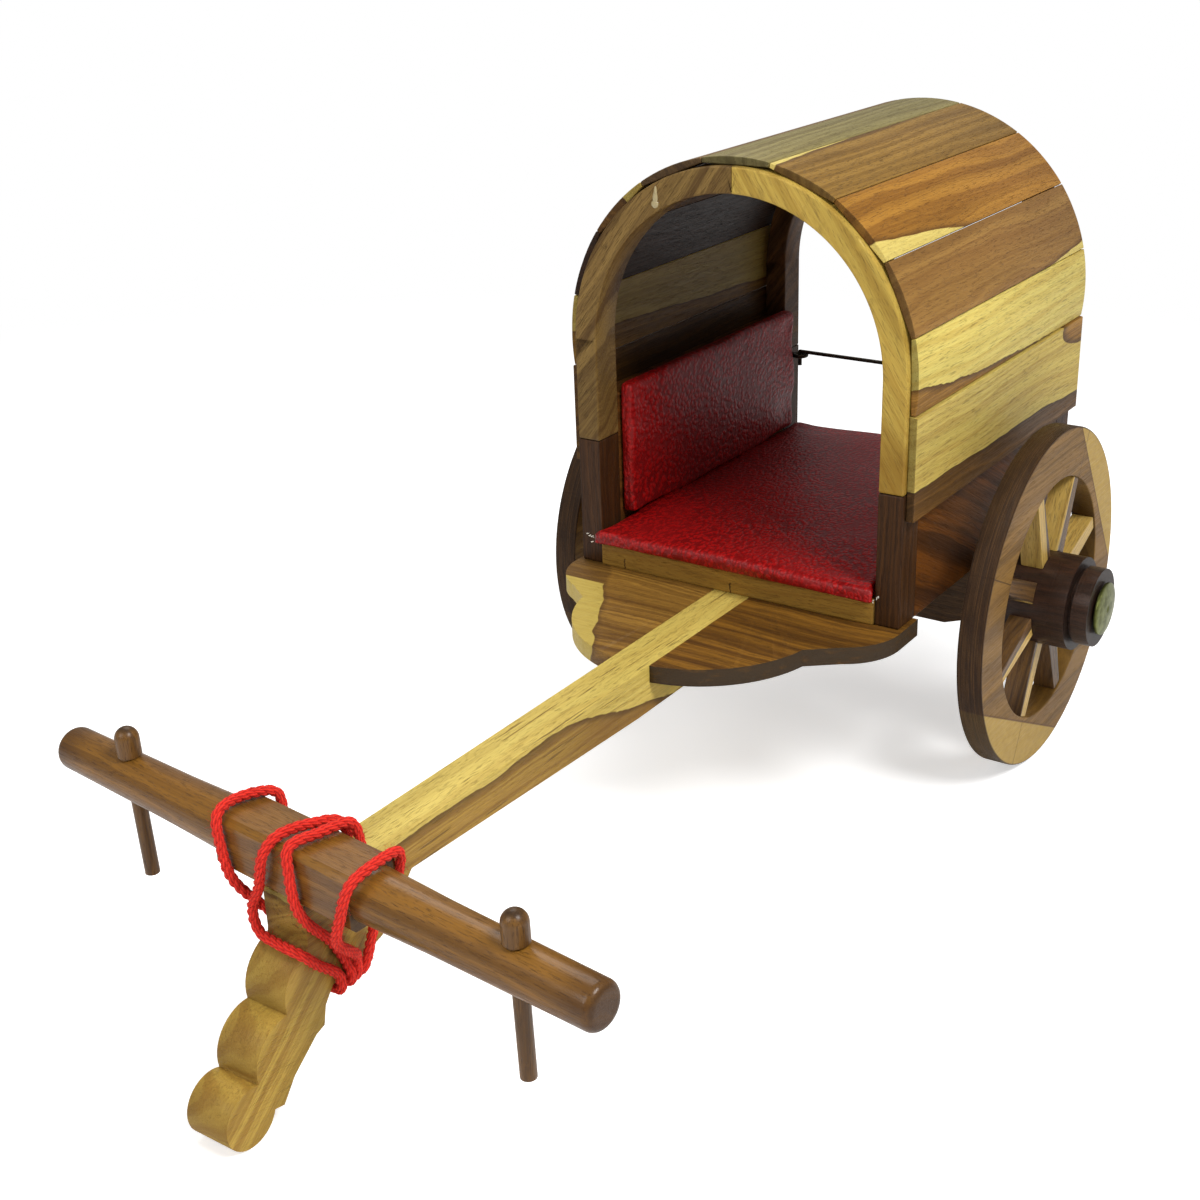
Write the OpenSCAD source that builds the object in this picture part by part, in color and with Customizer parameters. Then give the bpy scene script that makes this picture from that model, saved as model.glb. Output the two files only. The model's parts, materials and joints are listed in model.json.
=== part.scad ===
// Small handmade wooden bullock cart with a barrel roof.
// It rests on its two wheels and on the carved foot of its pole.
// Body sizes are set in a level frame with the axle's centre at zero, +X forwards and
// +Y to the cart's left. The parked() module then tips the body onto its foot.

/* [Wheels] */
// Diameter of a wheel over its rim
wheel_d = 72; // [60:0.2:88]
// Distance between the middle planes of the two rims
track = 96.4; // [95:0.2:104]
// Width of a rim between its inner and outer edges
rim_w = 10.3; // [7:0.1:12]
// Thickness of a rim along the axle
rim_t = 5.3; // [4:0.1:6]
// Number of spokes in a wheel
spoke_count = 8; // [6:1:10]
// Angle of the first spoke above the forward direction
spoke_phase = 25; // [0:1:45]
// Thickness of a spoke at the hub
spoke_root_w = 4.4; // [3:0.1:5]
// Thickness of a spoke at the rim
spoke_tip_w = 2.8; // [2:0.1:4]
// Depth of a spoke along the axle
spoke_depth = 4.7; // [3.5:0.1:5.2]
// Diameter of the hub barrel
hub_d = 19.6; // [16:0.1:22]
// Length of the hub barrel
hub_len = 15; // [12:0.1:18]
// Distance the barrel stands outside the middle plane of the rim
hub_out = 9; // [6:0.1:11]
// Diameter of the turned ring on the hub's outer end
ring_d = 16.4; // [12:0.1:17]
// Length of the turned ring
ring_len = 3.4; // [2:0.1:5]
// Radius of the rounded edges on the hub
hub_round = 2.2; // [1:0.1:2.6]
// Width of the groove between the barrel and the ring
groove_w = 0.8; // [0.4:0.1:1.5]
// Depth of the groove below the ring
groove_deep = 0.9; // [0.4:0.1:2]

/* [Axle] */
// Diameter of the axle dowel
axle_d = 6; // [4:0.1:8]
// Radial clearance of the hub on the axle
axle_gap = 0.06; // [0.03:0.01:0.1]
// Diameter of the brass tack head on each axle end
tack_d = 11; // [8:0.1:14]
// Thickness of the brass tack head at its rim
tack_t = 0.6; // [0.4:0.1:1]
// Height of the tack head's dome
tack_dome = 0.5; // [0.3:0.1:1]
// Thickness of the bolster along the cart
bolster_t = 13; // [9:0.5:18]
// Depth of the bolster below the axle's centre line at its middle
bolster_drop = 8; // [6:0.1:11]
// Depth of the bolster below the axle's centre line at its ends
bolster_tip_drop = 4; // [3.5:0.1:6]
// Height of the bolster's ends above the axle's centre line
bolster_tip_rise = 6; // [4:0.1:8]
// Length of the level middle stretch of the bolster's lower edge
bolster_flat = 60; // [30:1:74]
// Running gap between a hub and the piece beside it
side_gap = 0.5; // [0.3:0.1:1]

/* [Body] */
// Height of the deck's upper face above the axle's centre line
deck_z = 6.7; // [6:0.1:10]
// Distance from the axle to the front hoop's front face
body_front = 44.5; // [38:0.1:54]
// Distance from the axle to the rear hoop's rear face
body_rear = 41.7; // [35:0.1:51]
// Radius of the hoops' inner edge
hoop_in_r = 31.8; // [26:0.1:33]
// Radial width of the hoops
hoop_t = 5.1; // [4:0.1:5.5]
// Depth of a hoop along the cart
hoop_depth = 7.2; // [5:0.1:9]
// Height of the hoops' springing line above the axle's centre line
spring_z = 55.2; // [49:0.1:65]
// Height of the hoop legs' lower ends above the axle's centre line
leg_z = 33.9; // [27:0.1:44]
// Height of the side panels' upper edge above the axle's centre line
panel_top_z = 42.4; // [35:0.1:48]
// Thickness of the floor board
floor_t = 2; // [1.5:0.1:3]

/* [Roof] */
// Radial thickness of a roof slat at its middle
slat_t = 1.7; // [1.2:0.1:2.5]
// Angle taken by each slat around the roof
slat_pitch = 22; // [21:0.1:22.5]
// Height of the lowest slat on each side
skirt_h = 20.7; // [15:0.1:24]
// Open joint between neighbouring slats
slat_joint = 0.16; // [0.08:0.02:0.4]
// Distance of the slats' front ends behind the front hoop's face
slat_setback = 1.2; // [0:0.1:3]

/* [Seat] */
// Height of the seat's front board
seat_h = 5.3; // [4:0.1:9]
// Thickness of the seat's front and rear boards
seat_board_t = 2.8; // [2:0.1:4]
// Distance of the front board's face ahead of the hoop's face
seat_proud = 0.5; // [0:0.1:2]
// Thickness of the board under the cushion
seat_panel_t = 2; // [1.2:0.1:2.5]
// Thickness of the seat cushion
cushion_t = 3.4; // [2.5:0.1:6]
// Overhang of the seat cushion ahead of the front board
cushion_nose = 3; // [1:0.1:5]
// Thickness of a side cushion
side_cushion_t = 3.2; // [2:0.1:5]
// Height of a side cushion
side_cushion_h = 29.5; // [20:0.5:34]
// Clear space left around each cushion
cushion_gap = 0.15; // [0.1:0.05:0.5]

/* [Footboard] */
// Thickness of the footboard
foot_t = 3.5; // [2.5:0.1:5]
// Distance of the footboard's rear edge behind the front hoop's face
foot_tuck = 6.8; // [4:0.1:12]
// Radius of the footboard's middle lobe
foot_lobe_r = 25.8; // [20:0.1:30]
// Distance of the middle lobe's centre ahead of the front hoop's face
foot_lobe_x = 12; // [8:0.1:18]
// Radius of the footboard's side lobes
foot_side_r = 12.6; // [8:0.1:14]
// Distance of the footboard's side edges outside the hoops
foot_over = 1; // [0:0.1:3]

/* [Pole] */
// Width of the pole
pole_w = 8.2; // [7.6:0.1:8.3]
// Depth of the pole where it meets the body
pole_depth = 9.3; // [8:0.1:12]
// Depth of the pole behind its foot
pole_tip_depth = 6.9; // [5.5:0.1:9]
// Distance from the axle to the pole's front face
pole_front = 174.9; // [150:0.1:212]
// Radius of the scroll that the cart rests on
scroll_r = 5; // [4:0.1:6]

/* [Yoke] */
// Length of the yoke
yoke_len = 117; // [92:1:125]
// Diameter of the yoke's round ends
yoke_end_d = 7.4; // [6:0.1:9]
// Thickness of the yoke's squared middle
yoke_mid_t = 9.2; // [9:0.1:9.3]
// Length of the yoke's squared middle
yoke_mid_len = 30; // [20:0.5:40]
// Angle of the yoke off square, left end forwards
yoke_skew = 6; // [5.5:0.1:6.5]
// Distance of the yoke's middle to the left of the pole's centre line
yoke_shift = 1.4; // [1:0.1:1.6]
// Distance between the two yoke pegs
peg_span = 85; // [70:1:90]
// Distance of the pegs' middle to the left of the yoke's middle
peg_shift = 0.8; // [0:0.1:3]
// Angle of the pegs' lower ends backwards
peg_lean = 2; // [0:0.5:6]
// Diameter of a yoke peg
peg_d = 2.5; // [2:0.1:3]
// Extra diameter at the top of a peg's tapered seat in the yoke
peg_taper = 0.8; // [0.4:0.1:0.8]
// Length of a yoke peg below the yoke's centre line
peg_drop = 18.5; // [10:0.5:24]
// Diameter of a yoke peg's head
peg_head_d = 4; // [3.8:0.1:6]
// Height of a yoke peg's head
peg_head_h = 5; // [3:0.1:7]

/* [Rear latch] */
// Height of the latch wire above the axle's centre line
latch_z = 33.4; // [26:0.1:50]
// Diameter of the latch wire
wire_d = 0.9; // [0.7:0.05:1.4]
// Inner diameter of each screw eye
eye_d = 2.2; // [1.8:0.1:3.5]

/* [Hidden] */
$fn = 64;
fine = 720;            // facets for shallow arcs

left = 1;
right = -1;
glue = 0.03;           // thickness of a glue line between faces that are not on one plane
wheel_r = wheel_d / 2;
rim_in_r = wheel_r - rim_w;
hoop_out_r = hoop_in_r + hoop_t;
slat_out_r = hoop_out_r + slat_t;
post_x0 = body_front - hoop_depth;       // rear face of the front posts
post_x1 = -body_rear + hoop_depth;       // front face of the rear posts
seat_z = deck_z + seat_h;                // upper face of the seat's boards
seat_face_x = body_front + seat_proud;
cushion_z = seat_z + glue;
hub_face_y = track / 2 + hub_out + groove_w + ring_len;   // outer end of a hub
bolster_half = track / 2 + hub_out - hub_len - side_gap;
axle_half = hub_face_y + side_gap;

// Pole and foot, in the level frame. Offsets are from the top of the pole's front face.
pole_top = deck_z;
pole_rear = bolster_t / 2 + glue;
belly_x = pole_front - 89;               // where the underside starts to rise
heel_x = pole_front - 23.8;              // where the underside turns down into the foot
lobe_1 = [-1.4, -14.9, 7.3];             // each lobe is [forwards, up, radius]
lobe_2 = [6.4, -22.9, 6.6];
scroll = [15, -28.8, scroll_r];
foot_back = [                            // back edge of the foot, from the heel to the scroll
  [-15.8, -14.8], [-11.5, -15.9], [-4.1, -17], [-2.2, -19.5], [-1.5, -22.7], [0.4, -23.3],
  [5.7, -27.4], [8.4, -30.9]
];
throat = 7;                              // straight height of the pole's front face
far_back = 60;                           // reach of the cut behind the foot

// The cart tips forwards until the scroll reaches the floor that the wheels stand on
scroll_x = pole_front + scroll[0];
scroll_z = pole_top + scroll[1];
park_tip = asin((wheel_r - scroll_r) / norm([scroll_x, scroll_z])) - atan2(-scroll_z, scroll_x);
front_x = scroll_x * cos(park_tip) + scroll_z * sin(park_tip) + scroll_r;
rear_x = -body_rear * cos(park_tip) + deck_z * sin(park_tip);
mid_x = (front_x + rear_x) / 2;          // puts the origin under the middle of the cart

// Latch wire and its screw eyes
latch_x = -body_rear + hoop_depth / 2;
eye_z = latch_z - wire_d - glue;         // the wire lies on top of the eyes
eye_stand = 2.4;                         // distance of each eye's centre from the post
eye_seat = 1.6;                          // length of each shank inside the post
hook_drop = 3.4;                         // length of the wire's bent ends

// Yoke, on top of the pole behind its front face
yoke_x = pole_front - 3.6;
yoke_z = pole_top + yoke_mid_t / 2;
yoke_shoulder = 14;                      // length of each taper beside the squared middle
peg_seat_top = yoke_end_d / 2 + 0.3;     // a peg's head stands on the yoke at this height
peg_seat_foot = -yoke_end_d / 2 - 0.5;   // its taper ends here, just under the yoke

// Lashing, as two-strand yarn. Each route is a list of [forwards, left, up] points in the
// level frame, measured from the pole's centre line and the pole's upper face at the yoke.
yarn_d = 1.4;
lash_at = [yoke_x, 0, pole_top];
lash_left = [                            // over the yoke's right arm, then under the foot
  [-7.4, -5.4, -1], [-6.9, -8.6, 5], [-6.4, -9.8, 9.6], [-1.4, -12.4, 10.3], [3.6, -12, 9.8],
  [4.3, -11.2, 4.4], [3.9, -9.6, -1], [0.4, -5.4, -7.4], [-3, -5, -13], [-3.2, -4.9, -17.3],
  [-3, 4.9, -17.4], [-2.9, 5.1, -14.2], [-0.2, 5, -8.6], [4.2, 5.3, -3], [6, 5, 1], [6, 4.4, 6],
  [5, 4, 10.1], [0, 5.4, 10.4], [-4.8, 7.2, 10.2], [-5.6, 8, 5.4]
];
lash_right = [                           // a full loop round the yoke's left arm
  [-6.3, 1.6, -17.2], [-6.4, 5, -17.1], [-8, 7.2, -8], [-6.4, 12, -1.4], [-4, 16, 4],
  [-3.1, 17.6, 9.4], [2, 17.8, 10.3], [6.8, 17, 8.8], [7.3, 15, 3], [6, 12.6, -2.4],
  [0.4, 9.6, -8.4], [-4.2, 6, -13.2], [-4.7, 4.9, -17.4], [-4.7, 1.6, -17.4]
];
lash_middle = [                          // over the yoke above the pole, then round the foot
  [-6.8, 5.2, -2], [-6, 5, 4], [-5.2, 4.8, 9.4], [-1.4, 2.4, 10.3], [3.6, 0.6, 10.3],
  [5.7, -1, 7.4], [5.7, -2.6, 1.6], [5.3, -5, -3], [5.3, -4.2, -6.8], [5.9, 0, -7.2],
  [5.9, 5, -7.6], [3, 5.1, -11], [-0.8, 5.1, -14.8], [-1.2, 4.9, -17.9], [-1.3, 1.6, -17.9]
];

// Everything that tips with the body
module parked() {
  translate([-mid_x, 0, wheel_r]) rotate([0, park_tip, 0]) children();
}

// A box from one corner to the opposite one
module block(low, high) {
  translate(low) cube(high - low);
}

// An outline drawn in [along the cart, up], given a width across the cart
module across(width) {
  rotate([90, 0, 0]) linear_extrude(height = width, center = true) children();
}

// An outline drawn in [left, up], given a length along the cart from x0 to x1
module along(x0, x1) {
  translate([x0, 0, 0]) rotate([90, 0, 90]) linear_extrude(height = x1 - x0) children();
}

// A disc profile with rounded outer corners, drawn in [radius, along the axle]
module turned_profile(radius, y0, y1, round_0, round_1) {
  square_in = [0, y0 + round_0];
  translate(square_in) square([radius, y1 - y0 - round_0 - round_1]);
  translate([0, y0]) square([radius - max(round_0, 0.001), y1 - y0]);
  if (round_0 > 0) translate([radius - round_0, y0 + round_0]) circle(r = round_0);
  if (round_1 > 0) {
    translate([0, y1 - round_1 * 1.2]) square([radius - round_1, round_1 * 1.2]);
    translate([radius - round_1, y1 - round_1]) circle(r = round_1);
  }
}

// A turned shape drawn in [radius, outwards], set on the axle of one side
module on_axle(side) {
  mirror([0, side == right ? 1 : 0, 0])
    translate([0, track / 2, 0]) rotate([-90, 0, 0]) rotate_extrude() children();
}

// The pole without its lobes
module pole_outline() {
  polygon(concat(
    [[pole_rear, pole_top], [pole_front, pole_top], [pole_front, pole_top - throat]],
    [for (p = [lobe_1, lobe_2, scroll]) [pole_front + p[0] + p[2] * 0.4, pole_top + p[1]]],
    [for (i = [len(foot_back) - 1 : -1 : 0])
      [pole_front + foot_back[i][0], pole_top + foot_back[i][1]]],
    [[heel_x, pole_top - pole_tip_depth], [belly_x, pole_top - pole_depth],
     [pole_rear, pole_top - pole_depth]]
  ));
}

module pole() {
  color("burlywood") difference() {
    union() {
      across(pole_w) pole_outline();
      for (p = [lobe_1, lobe_2, scroll])
        translate([pole_front + p[0], 0, pole_top + p[1]])
          rotate([90, 0, 0]) cylinder(r = p[2], h = pole_w, center = true);
    }
    translate([pole_front, 0, pole_top]) across(2 * pole_w) polygon(concat(
      foot_back, [[scroll[0] - scroll_r * 0.8, scroll[1] - scroll_r * 0.8],
        [0, -far_back], [-far_back, -far_back]]
    ));
  }
}

// One half of the lobed footboard, split by the pole
module footboard(side) {
  side_y = hoop_out_r + foot_over;
  inner_y = pole_w / 2 + glue;
  rear = body_front - foot_tuck;
  side_x = body_front + 1.2;
  color("sienna") mirror([0, side == right ? 1 : 0, 0])
    translate([0, 0, deck_z - foot_t]) linear_extrude(height = foot_t) intersection() {
      translate([rear, inner_y]) square([wheel_d, side_y - inner_y]);
      union() {
        translate([body_front + foot_lobe_x, 0]) circle(r = foot_lobe_r);
        translate([side_x, side_y - foot_side_r]) circle(r = foot_side_r);
        polygon([
          [rear, 0], [body_front + foot_lobe_x, 0], [body_front + 17.5, foot_lobe_r - 1.2],
          [side_x + foot_side_r * 0.86, side_y - foot_side_r * 0.5],
          [side_x, side_y], [rear, side_y]
        ]);
      }
    }
}

module floor_board() {
  half = hoop_in_r - glue;
  color("peru") block(
    [-body_rear + seat_board_t + glue, -half, deck_z],
    [seat_face_x - seat_board_t - glue, half, deck_z + floor_t]);
}

// One of the four corner posts below the hoop legs
module post(x0, side) {
  y0 = side == left ? hoop_in_r : -hoop_out_r;
  color("saddlebrown") difference() {
    block([x0, y0, deck_z], [x0 + hoop_depth, y0 + hoop_t, leg_z]);
    rear_eye(side, glue);
  }
}

// Half of a hoop, from the seam at its top to the end of one leg
module hoop(x0, side) {
  color("tan") along(x0, x0 + hoop_depth) translate([0, spring_z]) intersection() {
    mirror([side == right ? 1 : 0, 0])
      translate([0, leg_z - spring_z]) square([wheel_d, wheel_d + spring_z - leg_z]);
    union() {
      difference() {
        circle(r = hoop_out_r, $fn = 96);
        circle(r = hoop_in_r, $fn = 96);
        translate([-wheel_d, -wheel_d]) square([2 * wheel_d, wheel_d]);
      }
      for (y = [-hoop_out_r, hoop_in_r])
        translate([y, leg_z - spring_z]) square([hoop_t, spring_z - leg_z]);
    }
  }
}

module side_panel(side) {
  y0 = side == left ? hoop_in_r : -hoop_out_r + glue;
  color("peru") block(
    [post_x1 + glue, y0, deck_z],
    [post_x0 - glue, y0 + hoop_t - glue, panel_top_z]);
}

// Roof slats are counted from the right-hand skirt over the top to the left-hand skirt
module roof_slat(number) {
  steps = number - 6;
  x0 = -body_rear;
  x1 = body_front - slat_setback;
  half_angle = slat_pitch / 2 - asin(slat_joint / 2 / slat_out_r);
  far = slat_out_r * 1.2;
  skirt_angle = slat_pitch * 4.5 + asin(slat_joint / 2 / slat_out_r);
  color(number % 2 == 0 ? "goldenrod" : "sienna") translate([0, 0, spring_z])
    if (abs(steps) < 5) {
      rotate([-steps * slat_pitch, 0, 0]) along(x0, x1) difference() {
        intersection() {
          circle(r = slat_out_r, $fn = fine);
          polygon([[0, 0], [far * tan(half_angle), far], [-far * tan(half_angle), far]]);
        }
        translate([-far, -far]) square([2 * far, far + hoop_out_r + glue]);
      }
    } else {
      mirror([0, steps > 0 ? 0 : 1, 0]) along(x0, x1) intersection() {
        translate([hoop_out_r + glue, -far]) square([slat_t - glue, far + hoop_out_r]);
        polygon([
          [0, 0], [far, far / tan(skirt_angle)],
          [far, skirt_foot()], [0, skirt_foot()]
        ]);
      }
    }
}

// Height of the skirt slats' lower edge above the springing line, a negative number
function skirt_foot() = hoop_out_r / tan(slat_pitch * 4.5) - skirt_h;

module seat_front_board() {
  half = hoop_in_r - glue;
  color("burlywood") block(
    [seat_face_x - seat_board_t, -half, deck_z], [seat_face_x, half, seat_z]);
}

module seat_rear_board() {
  half = hoop_in_r - glue;
  color("peru") block(
    [-body_rear, -half, deck_z], [-body_rear + seat_board_t, half, seat_z]);
}

module seat_panel() {
  half = hoop_in_r - glue;
  color("tan") block(
    [-body_rear + seat_board_t + glue, -half, seat_z - seat_panel_t],
    [seat_face_x - seat_board_t - glue, half, seat_z]);
}

module seat_cushion() {
  half = hoop_in_r - cushion_gap;
  color("firebrick") block(
    [-body_rear + seat_board_t / 2, -half, cushion_z],
    [seat_face_x + cushion_nose, half, cushion_z + cushion_t]);
}

module side_cushion(side) {
  z0 = cushion_z + cushion_t + cushion_gap;
  y1 = hoop_in_r - glue;
  color("firebrick") mirror([0, side == right ? 1 : 0, 0]) block(
    [post_x1, y1 - side_cushion_t, z0], [post_x0, y1, z0 + side_cushion_h]);
}

// Cross beam that carries the axle
module bolster() {
  inner = bolster_flat / 2;
  color("saddlebrown") difference() {
    along(-bolster_t / 2, bolster_t / 2) polygon([
      [-hoop_out_r, deck_z - glue], [hoop_out_r, deck_z - glue],
      [bolster_half, bolster_tip_rise], [bolster_half, -bolster_tip_drop],
      [inner, -bolster_drop], [-inner, -bolster_drop],
      [-bolster_half, -bolster_tip_drop], [-bolster_half, bolster_tip_rise]
    ]);
    rotate([90, 0, 0]) cylinder(d = axle_d + 2 * glue, h = 3 * bolster_half, center = true);
  }
}

module axle() {
  color("tan") rotate([90, 0, 0]) cylinder(d = axle_d, h = 2 * axle_half, center = true);
}

// Brass tack head on an axle end
module tack(side) {
  dome_r = (tack_d * tack_d / 4 + tack_dome * tack_dome) / (2 * tack_dome);
  base = axle_half - track / 2 + glue;
  color("gold") on_axle(side) {
    translate([0, base]) square([tack_d / 2, tack_t]);
    translate([0, base + tack_t]) intersection() {
      translate([0, tack_dome - dome_r]) circle(r = dome_r, $fn = fine);
      square([tack_d / 2, tack_dome]);
    }
  }
}

module rim(side) {
  color("sienna") on_axle(side)
    translate([rim_in_r, -rim_t / 2]) square([rim_w, rim_t]);
}

module spokes(side) {
  root_r = hub_d / 2 + glue;
  tip_r = rim_in_r - 2 * glue;
  color("burlywood") translate([0, side * track / 2, 0]) across(spoke_depth) difference() {
    for (i = [0 : spoke_count - 1])
      rotate(spoke_phase + i * 360 / spoke_count) intersection() {
        circle(r = tip_r, $fn = fine);
        polygon([
          [0, -spoke_root_w / 2], [root_r, -spoke_root_w / 2], [tip_r + 1, -spoke_tip_w / 2],
          [tip_r + 1, spoke_tip_w / 2], [root_r, spoke_root_w / 2], [0, spoke_root_w / 2]
        ]);
      }
    circle(r = root_r);
  }
}

module hub(side) {
  bore_r = axle_d / 2 + axle_gap;
  ring_y = hub_out + groove_w;
  color("saddlebrown") on_axle(side) difference() {
    union() {
      turned_profile(hub_d / 2, hub_out - hub_len, hub_out, 0, hub_round);
      translate([0, hub_out - 1]) square([ring_d / 2 - groove_deep, groove_w + 2]);
      turned_profile(ring_d / 2, ring_y, ring_y + ring_len, 0, hub_round / 2);
    }
    translate([0, -wheel_d / 2]) square([bore_r, wheel_d]);
  }
}

// Everything that lies along the yoke, drawn with the yoke's length along Y
module on_yoke() {
  translate([yoke_x, yoke_shift, yoke_z]) rotate([0, 0, -yoke_skew]) children();
}

// Everything that lies along a peg, with its length along Z
module on_peg(side) {
  on_yoke() translate([0, peg_shift + side * peg_span / 2, 0]) rotate([0, peg_lean, 0]) children();
}

// Half of the yoke beside its squared middle: a taper and a round arm with a rounded end
module yoke_arm() {
  start = yoke_mid_len / 2;
  arm = yoke_len / 2 - start;
  tip_round = 1.4;
  rotate([-90, 0, 0]) rotate_extrude() {
    polygon([
      [0, start], [yoke_mid_t / 2 - 0.2, start], [yoke_end_d / 2 + 0.3, start + yoke_shoulder],
      [yoke_end_d / 2, start + arm - tip_round], [0, start + arm - tip_round]
    ]);
    translate([0, start + arm - tip_round - 1]) square([yoke_end_d / 2 - tip_round, tip_round + 1]);
    translate([yoke_end_d / 2 - tip_round, start + arm - tip_round]) circle(r = tip_round);
  }
}

// A peg's tapered seat in the yoke, and a little way out at both ends, with extra diameter
module peg_seat(extra) {
  height = peg_seat_top - peg_seat_foot;
  translate([0, 0, peg_seat_foot])
    cylinder(d1 = peg_d + extra, d2 = peg_d + peg_taper + extra, h = height);
  translate([0, 0, peg_seat_top - 0.01]) cylinder(d = peg_d + peg_taper + extra, h = 1);
}

module yoke() {
  color("peru") difference() {
    on_yoke() union() {
      rotate([90, 0, 0]) intersection() {
        translate([0, 0, -yoke_mid_len / 2])
          linear_extrude(height = yoke_mid_len) square(yoke_mid_t, center = true);
        rotate_extrude() square([yoke_mid_t * 0.64, yoke_mid_len / 2]);
      }
      rotate([-90, 0, 0]) intersection() {
        linear_extrude(height = yoke_mid_len / 2) square(yoke_mid_t, center = true);
        rotate_extrude() square([yoke_mid_t * 0.64, yoke_mid_len / 2]);
      }
      yoke_arm();
      mirror([0, 1, 0]) yoke_arm();
    }
    for (side = [left, right])
      on_peg(side) peg_seat(2 * glue);
  }
}

module yoke_peg(side) {
  color("peru") on_peg(side) {
    translate([0, 0, -peg_drop]) cylinder(d = peg_d, h = peg_drop + peg_seat_foot);
    peg_seat(0);
    translate([0, 0, peg_seat_top]) rotate_extrude() intersection() {
      square([peg_head_d, peg_head_h]);
      union() {
        translate([0, peg_head_h - peg_head_d / 2]) circle(d = peg_head_d);
        square([peg_head_d / 2, peg_head_h - peg_head_d / 2]);
      }
    }
  }
}

// Points along a smooth curve through the route
function route_point(p, i, t) =
  let (a = p[max(i - 1, 0)], b = p[i], c = p[i + 1], d = p[min(i + 2, len(p) - 1)])
  0.5 * ((2 * b) + (c - a) * t + (2 * a - 5 * b + 4 * c - d) * t * t
    + (3 * b - a - 3 * c + d) * t * t * t);
function route_curve(p, steps) = concat(
  [for (i = [0 : len(p) - 2], s = [0 : steps - 1]) route_point(p, i, s / steps)],
  [p[len(p) - 1]]);

// A closed tube swept along a route with eight sides
module yarn(route) {
  sides = 8;
  path = route_curve(route, 2);
  count = len(path);
  rings = [for (i = [0 : count - 1])
    let (
      ahead = path[min(i + 1, count - 1)] - path[max(i - 1, 0)],
      t = ahead / norm(ahead),
      helper = abs(t[1]) < 0.8 ? [0, 1, 0] : [1, 0, 0],
      u = cross(t, helper) / norm(cross(t, helper)),
      v = cross(t, u)
    )
    [for (k = [0 : sides - 1])
      path[i] + yarn_d / 2 * (cos(k * 360 / sides) * u + sin(k * 360 / sides) * v)]];
  polyhedron(
    points = [for (ring = rings, q = ring) q],
    faces = concat(
      [[for (k = [0 : sides - 1]) k]],
      [for (i = [0 : count - 2], k = [0 : sides - 1])
        [i * sides + k, (i + 1) * sides + k, (i + 1) * sides + (k + 1) % sides,
         i * sides + (k + 1) % sides]],
      [[for (k = [sides - 1 : -1 : 0]) (count - 1) * sides + k]]
    ));
}

module lashing() {
  color("red") translate(lash_at) {
    yarn(lash_left);
    yarn(lash_middle);
    yarn(lash_right);
  }
}

// Latch wire across the rear doorway, its ends bent down through the eyes
module rear_hook() {
  reach = hoop_in_r - eye_stand;
  color("dimgray") translate([latch_x, 0, latch_z]) {
    rotate([90, 0, 0]) cylinder(d = wire_d, h = 2 * reach, center = true);
    for (side = [left, right]) translate([0, side * reach, 0]) {
      sphere(d = wire_d);
      translate([0, 0, -hook_drop]) cylinder(d = wire_d, h = hook_drop);
    }
  }
}

// A screw eye in a rear post, with its ring level; extra widens it to make its hole
module rear_eye(side, extra) {
  ring_r = (eye_d + wire_d) / 2;
  mirror([0, side == right ? 1 : 0, 0]) translate([latch_x, hoop_in_r - eye_stand, eye_z]) {
    rotate_extrude() translate([ring_r, 0]) circle(d = wire_d);
    translate([0, ring_r, 0]) rotate([-90, 0, 0])
      cylinder(d = wire_d + 2 * extra, h = eye_stand - ring_r + eye_seat + extra);
  }
}

module rear_eyes() {
  color("dimgray") for (side = [left, right]) rear_eye(side, 0);
}

parked() pole();
parked() footboard(left);  // footboard_left
parked() footboard(right);  // footboard_right
parked() floor_board();
parked() post(post_x0, left);  // post_front_left
parked() post(post_x0, right);  // post_front_right
parked() post(-body_rear, left);  // post_rear_left
parked() post(-body_rear, right);  // post_rear_right
parked() hoop(post_x0, left);  // hoop_front_left
parked() hoop(post_x0, right);  // hoop_front_right
parked() hoop(-body_rear, left);  // hoop_rear_left
parked() hoop(-body_rear, right);  // hoop_rear_right
parked() side_panel(left);  // side_panel_left
parked() side_panel(right);  // side_panel_right
for (number = [1 : 11])
  parked() roof_slat(number);
parked() seat_front_board();
parked() seat_rear_board();
parked() seat_panel();
parked() seat_cushion();
parked() side_cushion(left);  // side_cushion_left
parked() side_cushion(right);  // side_cushion_right
parked() bolster();
parked() axle();
parked() tack(left);  // tack_left
parked() tack(right);  // tack_right
parked() yoke();
parked() yoke_peg(left);  // yoke_peg_left
parked() yoke_peg(right);  // yoke_peg_right
parked() lashing();
parked() rear_hook();
parked() rear_eyes();
parked() rim(left);  // rim_left
parked() spokes(left);  // spokes_left
parked() hub(left);  // hub_left
parked() rim(right);  // rim_right
parked() spokes(right);  // spokes_right
parked() hub(right);  // hub_right
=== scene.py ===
import bpy, bmesh, json, math, random
from mathutils import Vector, Matrix, noise


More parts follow.
